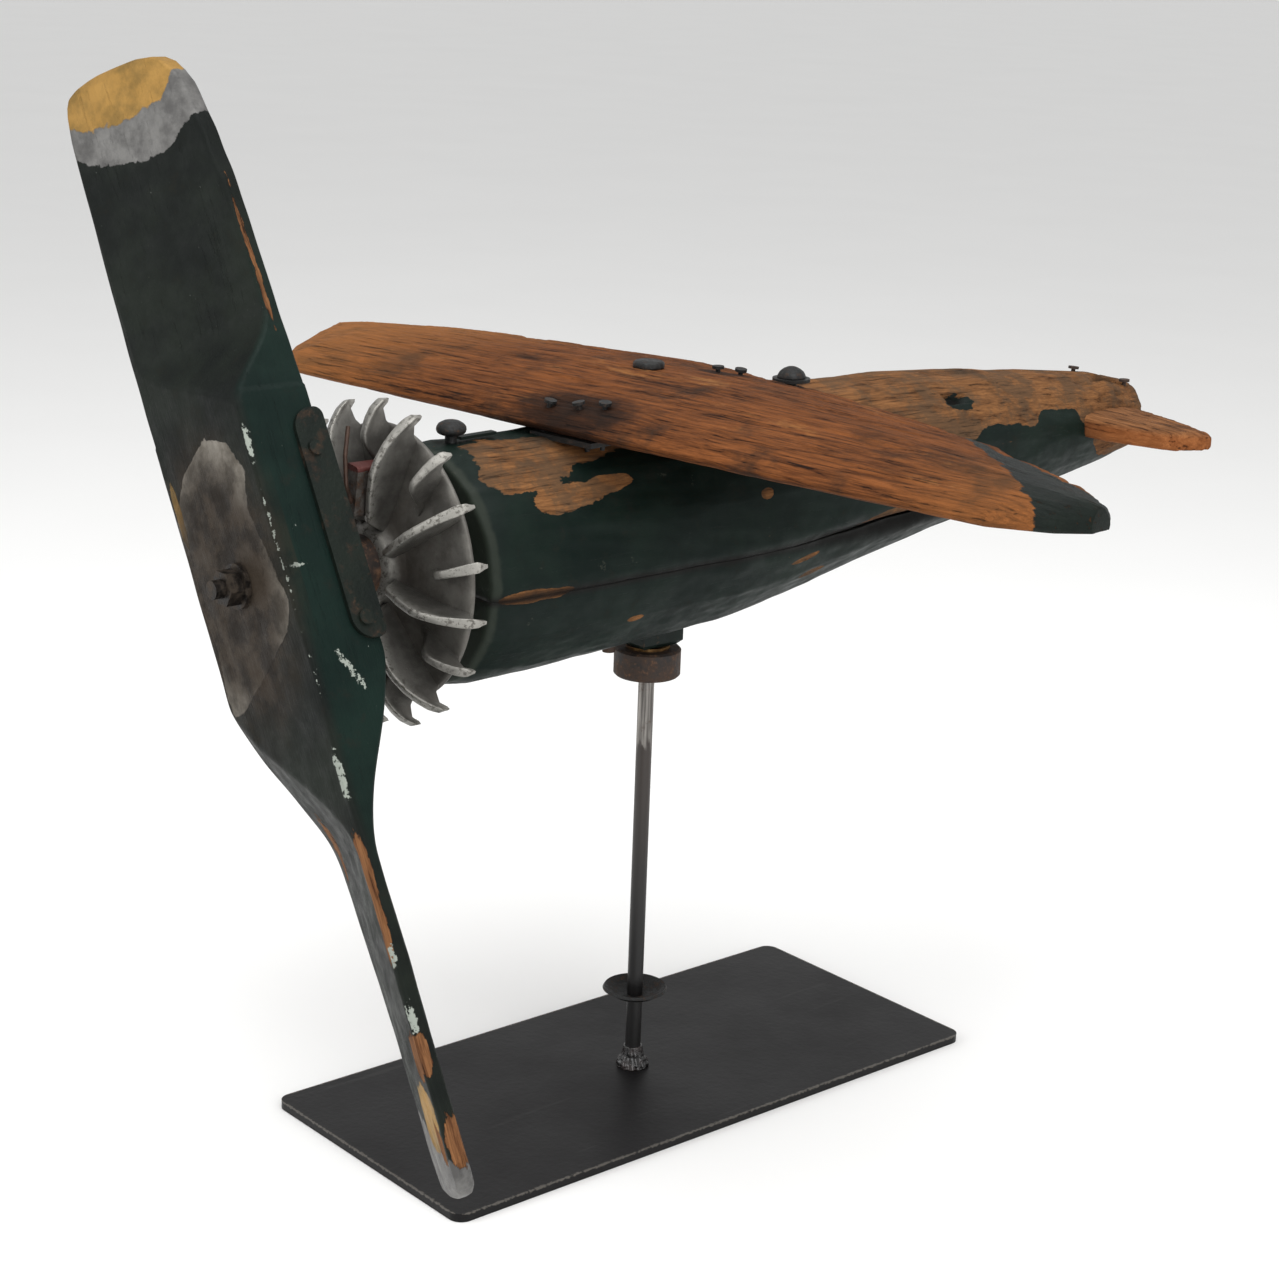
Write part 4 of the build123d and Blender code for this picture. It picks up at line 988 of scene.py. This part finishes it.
material, surface, place = new_material("Green painted propeller", 0.5, specular=0.1)
blade_place = turned_place(place, turn=(0.0, BLADE_TURN, 0.0))
lengthwise = turned_place(blade_place, turn=(0.0, pi / 2, 0.0))
coat = use(paint, Place=turned_place(lengthwise, turn=(0.0, 0.0, pi / 2)), Teal=mark(place, "teal"))
wood = use(grain, Place=lengthwise, Dark=(70, 42, 26), Pale=(138, 96, 62), Stain=0.6)
silver_wear = noise(place, 60.0, 6.0, 0.65)
silver = shade(step(silver_wear, 0.35, 0.68), (80, 79, 78), (110, 109, 107))
ochre = shade(step(noise(place, 55.0, 6.0, 0.65), 0.36, 0.66), (116, 92, 50), (150, 116, 62))
tips = torn(mark(place, "silver"), lengthwise, 110.0, 0.75, 0.03)
ends = torn(mark(place, "ochre"), place, 90.0, 0.9, 0.05)
worn = torn(mark(place, "hub_silver"), place, 95.0, 0.8, 0.04)
bare = torn(mark(place, "bare"), turned_place(lengthwise, stretch=(0.4, 1.0, 1.0)), 170.0, 1.7, 0.04)
white = torn(mark(place, "white"), place, 330.0, 2.1, 0.05)
soot = torn(mark(place, "grease"), place, 45.0, 0.32, 0.5)
hub_metal = shade(step(silver_wear, 0.34, 0.74), (94, 88, 79), (156, 151, 142))
base = shade(worn, coat["Colour"], hub_metal)
base = shade(tips, base, silver)
base = shade(ends, base, ochre)
base = shade(bare, base, wood["Colour"])
base = shade(white, base, (140, 146, 138))
base = shade(soot * 0.95, base, shade(step(silver_wear, 0.4, 0.6), (24, 18, 13), (44, 35, 26)))
dots = step(noise(place, 520.0, 3.0, 0.7), 0.73, 0.76)
base = shade(dots * 0.35, base, (96, 98, 88))
thick_paint = tips * 0.35 + ends * 0.3 - (bare + worn * 0.4)
relief = thick_paint + (coat["Height"] * 0.35 + wood["Height"] * 0.35)
shiny = maths("MAXIMUM", tips, worn) * 0.25
finish = blend(bare, coat["Roughness"], 0.82)
wire(surface, Base_Color=base, Roughness=finish, Metallic=shiny, Relief=(relief, 0.0006))
rules = {
    "silver": silver_tips, "ochre": ochre_tips, "hub_silver": hub_silver, "grease": grease,
    "bare": blade_bare, "white": blade_white, "teal": hub_teal}
made_piece("propeller_carved", [wrapped(blade_rings)], "rotor", material, ["propeller"], rules)


# ---------------------------------------------------------------- hub strap
# Bar steel bent to a channel behind the hub and screwed to its sides; old grey-green paint worn to
# brown steel at the corners.
material, surface, place = new_material("Grey green strap", 0.55, 0.1, specular=0.15)
coat = use(paint, Place=place, Teal=0.1)
rusty = use(rust, Place=place, Scale=130.0)
worn = step(noise(place, 70.0, 6.0, 0.65), 0.52, 0.62)
base = shade(worn * 0.4, coat["Colour"], rusty["Colour"])
wire(surface, Base_Color=base, Roughness=step(worn, 0.0, 1.0, 0.45, 0.7), Relief=(rusty["Height"], 0.0004))
dress(material, "propeller_strap", "strap_screws")


# ---------------------------------------------------------------- fan wheel
# Small-engine flywheel in cast aluminium: a shallow cone with long and short radial vanes turn about,
# each with a rounded bead along its front edge and a blunt tip that overhangs the rim. The corners round
# the boss and the vanes' feet are darker, partly grime and partly painted shade; the beads and tips are
# lighter, partly rubbed bright and partly a painted highlight.
RIM, TIP, PAIRS = 0.075, 0.0885, 9
WEB, BEAD, FOOT_FLARE, BEAD_DEPTH = 0.0015, 0.0019, 0.0009, 0.0030
LAG, LAG_SCATTER, WOBBLE = radians(5.0), radians(0.6), 0.0006
# Radius and place along the axle, in mm: the cone's face, and the whole disc in section.
wheel_face = MM * np.array([
    (17.0, -194.5), (25.0, -194.0), (39.0, -192.5), (60.0, -190.0), (75.0, -187.4), (88.5, -187.0)])
profile = MM * np.array([
    (17.05, -203.0), (19.5, -202.6), (21.6, -201.0), (22.8, -198.4), (24.4, -195.6), (28.0, -193.9),
    (39.0, -192.5), (50.0, -191.2), (60.0, -190.0), (72.0, -188.1), (74.2, -187.4), (75.0, -186.4),
    (75.0, -184.9), (74.0, -184.0), (60.0, -186.2), (39.0, -188.6), (28.0, -189.6), (24.0, -188.2),
    (17.05, -188.0)])
section = along_polyline(profile, 120)
angle = full_turn(200)[:, None]
radius = section[:, 0]
disc = points_of(radius * np.cos(angle), section[:, 1], AXLE_HEIGHT + radius * np.sin(angle))


def vane_shells(first_radius, crest, angles, seed):
    """Vanes at several angles. Each is rings along the radius: a thin web from the cone's face to a
    rounded bead on its front edge, leaning back a little towards its foot."""
    share = np.linspace(0.0, 1.0, 44)[:, None]
    radius = first_radius + (TIP - first_radius) * share
    foot = np.interp(radius, wheel_face[:, 0], wheel_face[:, 1]) + 0.0008 * (radius < RIM)
    lip = np.interp(radius / MM, (75.2, 77.5, 84.0, 86.4, 88.5), (0.0, 2.2, 3.4, 0.2, -0.8)) * MM
    foot = foot - lip
    crest_line = (-203, -209, -212, -213, -211.5, -207.5, -203, -198, -192.5)
    front = np.interp(radius / MM, (17, 29, 46, 58, 65, 74, 80, 85, 88.5), crest_line) * MM
    start_rise = eased(share, -0.02, 0.16 if crest == 1.0 else 0.62)
    front = foot + (front - foot) * crest * (0.12 + 0.88 * start_rise)
    around = full_turn(28)[None]
    height = (1 - np.cos(around)) / 2
    height = np.where(height < 0.5, height * 1.35, 1 - (1 - height) * 0.65)
    bead = np.exp(-((1 - height) * np.abs(front - foot) / BEAD_DEPTH) ** 2)
    blunt = 0.7 + 0.3 * np.sqrt(unit((1.0 - share) / 0.03))
    half = (WEB + BEAD * bead * (0.55 + 0.45 * share) + FOOT_FLARE * np.exp(-height / 0.1)) * blunt
    half = half * np.abs(np.sin(around)) ** 0.45 * np.sign(np.sin(around))
    shells = []
    for number, middle in enumerate(angles):
        random = np.random.default_rng(seed + number)
        wobble = WOBBLE * random.normal() * share ** 2
        lag = LAG * (1.0 - share) + LAG_SCATTER * random.normal()
        turn = radians(middle) - lag
        depth = foot + (front - foot) * height + wobble
        x = radius * np.cos(turn) - half * np.sin(turn)
        z = AXLE_HEIGHT + radius * np.sin(turn) + half * np.cos(turn)
        shells.append(wrapped(points_of(x, depth, z)))
    return shells


angles = 360.0 / PAIRS * np.arange(PAIRS)
shells = [wrapped(disc, ends=False)]
shells += vane_shells(0.0195, 1.0, angles - 9.0, 51)
shells += vane_shells(0.048, 0.84, angles + 11.0, 71)


def rubbed_and_highlit(points):
    """How near a point is to the vanes' front edges and tips, which are rubbed bright and carry a painted
    highlight.
    """
    radius = np.hypot(points[:, 0], points[:, 2] - AXLE_HEIGHT) / MM
    places = (17, 29, 46, 58, 65, 74, 83, 88.5)
    front = np.interp(radius, places, (-203, -209, -212, -213, -211.5, -208.5, -202, -196))
    return np.maximum(unit(1.0 - (points[:, 1] / MM - front) / 9.0), unit((radius - 80) / 8.0))


material, surface, place = new_material("Dull cast aluminium", 0.55, 0.75, specular=0.3)
cloud = noise(place, 60.0, 6.0, 0.65)
sand = noise(place, 1400.0, 3.0, 0.6)
# Painted highlight, partly real wear: the vanes' beads and tips are lightened towards a bright metal colour.
edge_wear_and_highlight = torn(mark(place, "rubbed_and_highlit"), place, 170.0, 0.5, 0.4)
metal = shade(step(cloud, 0.36, 0.66), (86, 84, 80), (112, 110, 105))
metal = shade(edge_wear_and_highlight * 0.85, metal, (150, 148, 142))
# Painted shade with grime: darker in the corners round the boss and at the vanes' feet; the grime also makes
# the metal rougher and less metallic.
dirt_and_shade = torn(mark(place, "dirt_and_shade"), place, 90.0, 0.8, 0.3)
specks = step(noise(place, 330.0, 5.0, 0.75), 0.52, 0.6)
metal = shade(specks * edge_wear_and_highlight * 0.75, metal, (62, 58, 52))
base = shade(dirt_and_shade * 0.55, metal, (58, 50, 42))
pits = step(noise(place, 420.0, 3.0, 0.6), 0.68, 0.74)
base = shade(pits * 0.5, base, (84, 80, 74))
wire(
    surface,
    Base_Color=base,
    Roughness=0.42 + dirt_and_shade * 0.3,
    Metallic=0.55 - dirt_and_shade * 0.4,
    Relief=(sand - pits, 0.00018),
)


def wheel_shade_and_dirt(points):
    """Darker corners round the boss and at the foot of the vanes: partly grime, partly painted shade."""
    radius = np.hypot(points[:, 0], points[:, 2] - AXLE_HEIGHT) / MM
    foot = np.interp(radius / 1000.0, wheel_face[:, 0], wheel_face[:, 1]) / MM
    near_foot = unit(1.0 - (foot - points[:, 1] / MM) / 6.0)
    return unit(near_foot * np.interp(radius, (17, 34, 60, 88), (0.95, 0.62, 0.38, 0.3)))


rules = {"rubbed_and_highlit": rubbed_and_highlit, "dirt_and_shade": wheel_shade_and_dirt}
made_piece("fan_wheel_cast", shells, "rotor", material, ["fan_wheel"], rules, sharp=50.0)


# ---------------------------------------------------------------- iron hub, magnet and lead
# The flywheel's cast-in iron hub is rusty brown with tan patches. The magnet stands between two
# vanes, dark, with red paint left on top, and a stiff wire springs from it.
material, surface, place = new_material("Rusty iron hub", 0.75, 0.2)
rusty = use(rust, Place=place, Scale=70.0)
tan = step(noise(place, 95.0, 5.0, 0.6), 0.52, 0.66)
base = shade(tan * 0.7, rusty["Colour"], (112, 80, 56))
wire(surface, Base_Color=base, Relief=(rusty["Height"], 0.0007))
dress(material, "iron_hub")
material, surface, place = new_material("Magnet with red paint", 0.6, 0.3)
low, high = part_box("magnet")
x, y, z = split(place)
rusty = use(rust, Place=place, Scale=150.0)
top = torn(step(z, high.z - 0.006, high.z - 0.001, 0.05, 0.9), place, 210.0, 0.9, 0.05)
body = shade(step(rusty["Cloud"], 0.4, 0.6), (84, 80, 75), rusty["Colour"])
base = shade(top * 0.85, body, (78, 20, 15))
wire(surface, Base_Color=base, Relief=(rusty["Height"], 0.0005))
dress(material, "magnet")
material, surface, place = new_material("Dark stiff wire", 0.55, 0.4)
kink = noise(place, 300.0, 4.0)
wire(surface, Base_Color=shade(kink, (34, 27, 24), (82, 58, 44)), Relief=(kink, 0.0003))
dress(material, "magnet_lead")


# ---------------------------------------------------------------- floor, light and camera
# Plain pale floor, three large soft lamps, and a long lens from the port bow.
material, surface, place = new_material("Pale studio floor", 0.9)
tint = noise(place, 3.0, 2.0)
wire(surface, Base_Color=shade(tint, (246, 246, 245), (250, 250, 249)))
mesh = bpy.data.meshes.new("studio_floor")
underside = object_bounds()[0].z - 0.0002
reach = 30.0
corners = [(x * reach, y * reach, underside) for x, y in ((-1, -1), (1, -1), (1, 1), (-1, 1))]
mesh.from_pydata(corners, [], [(0, 1, 2, 3)])
mesh.materials.append(material)
floor = bpy.data.objects.new("studio_floor", mesh)
bpy.context.scene.collection.objects.link(floor)

sky = bpy.data.worlds.new("Soft studio")
sky.use_nodes = True
sky.node_tree.nodes["Background"].inputs["Color"].default_value = (1.0, 1.0, 1.0, 1.0)
sky.node_tree.nodes["Background"].inputs["Strength"].default_value = 0.68
bpy.context.scene.world = sky


def soft_lamp(name, place, aim, size, power):
    """Square area lamp at a place, turned to its aim."""
    lamp = bpy.data.lights.new(name, "AREA")
    lamp.energy = power
    lamp.size = size
    holder = bpy.data.objects.new(name, lamp)
    holder.location = place
    holder.rotation_euler = (Vector(aim) - Vector(place)).to_track_quat("-Z", "Y").to_euler()
    bpy.context.scene.collection.objects.link(holder)


soft_lamp("overhead", (0.3, -0.2, 2.2), (0.0, 0.0, 0.3), 1.9, 34.0)
soft_lamp("key_left", (-0.4, -2.0, 1.1), (0.0, -0.1, 0.3), 1.3, 15.0)
soft_lamp("fill_right", (2.1, -0.5, 1.0), (0.0, -0.05, 0.3), 1.5, 18.0)

turn, tilt, roll = radians(48.918), radians(15.98), radians(-2.094)
forward = Vector((-sin(turn) * cos(tilt), cos(turn) * cos(tilt), -sin(tilt)))
right_hand = Vector((cos(turn), sin(turn), 0.0))
down = forward.cross(right_hand)
picture_right = cos(roll) * right_hand + sin(roll) * down
picture_down = cos(roll) * down - sin(roll) * right_hand
lens = bpy.data.cameras.new("camera")
lens.sensor_width = 36.0
lens.lens = 73.10
lens.clip_start = 0.05
camera = bpy.data.objects.new("camera", lens)
columns = Matrix((picture_right, -picture_down, -forward)).transposed()
camera.matrix_world = Matrix.Translation((1.10064, -0.96613, 0.69619)) @ columns.to_4x4()
bpy.context.scene.collection.objects.link(camera)
bpy.context.scene.camera = camera
bpy.context.scene.view_settings.view_transform = "Standard"
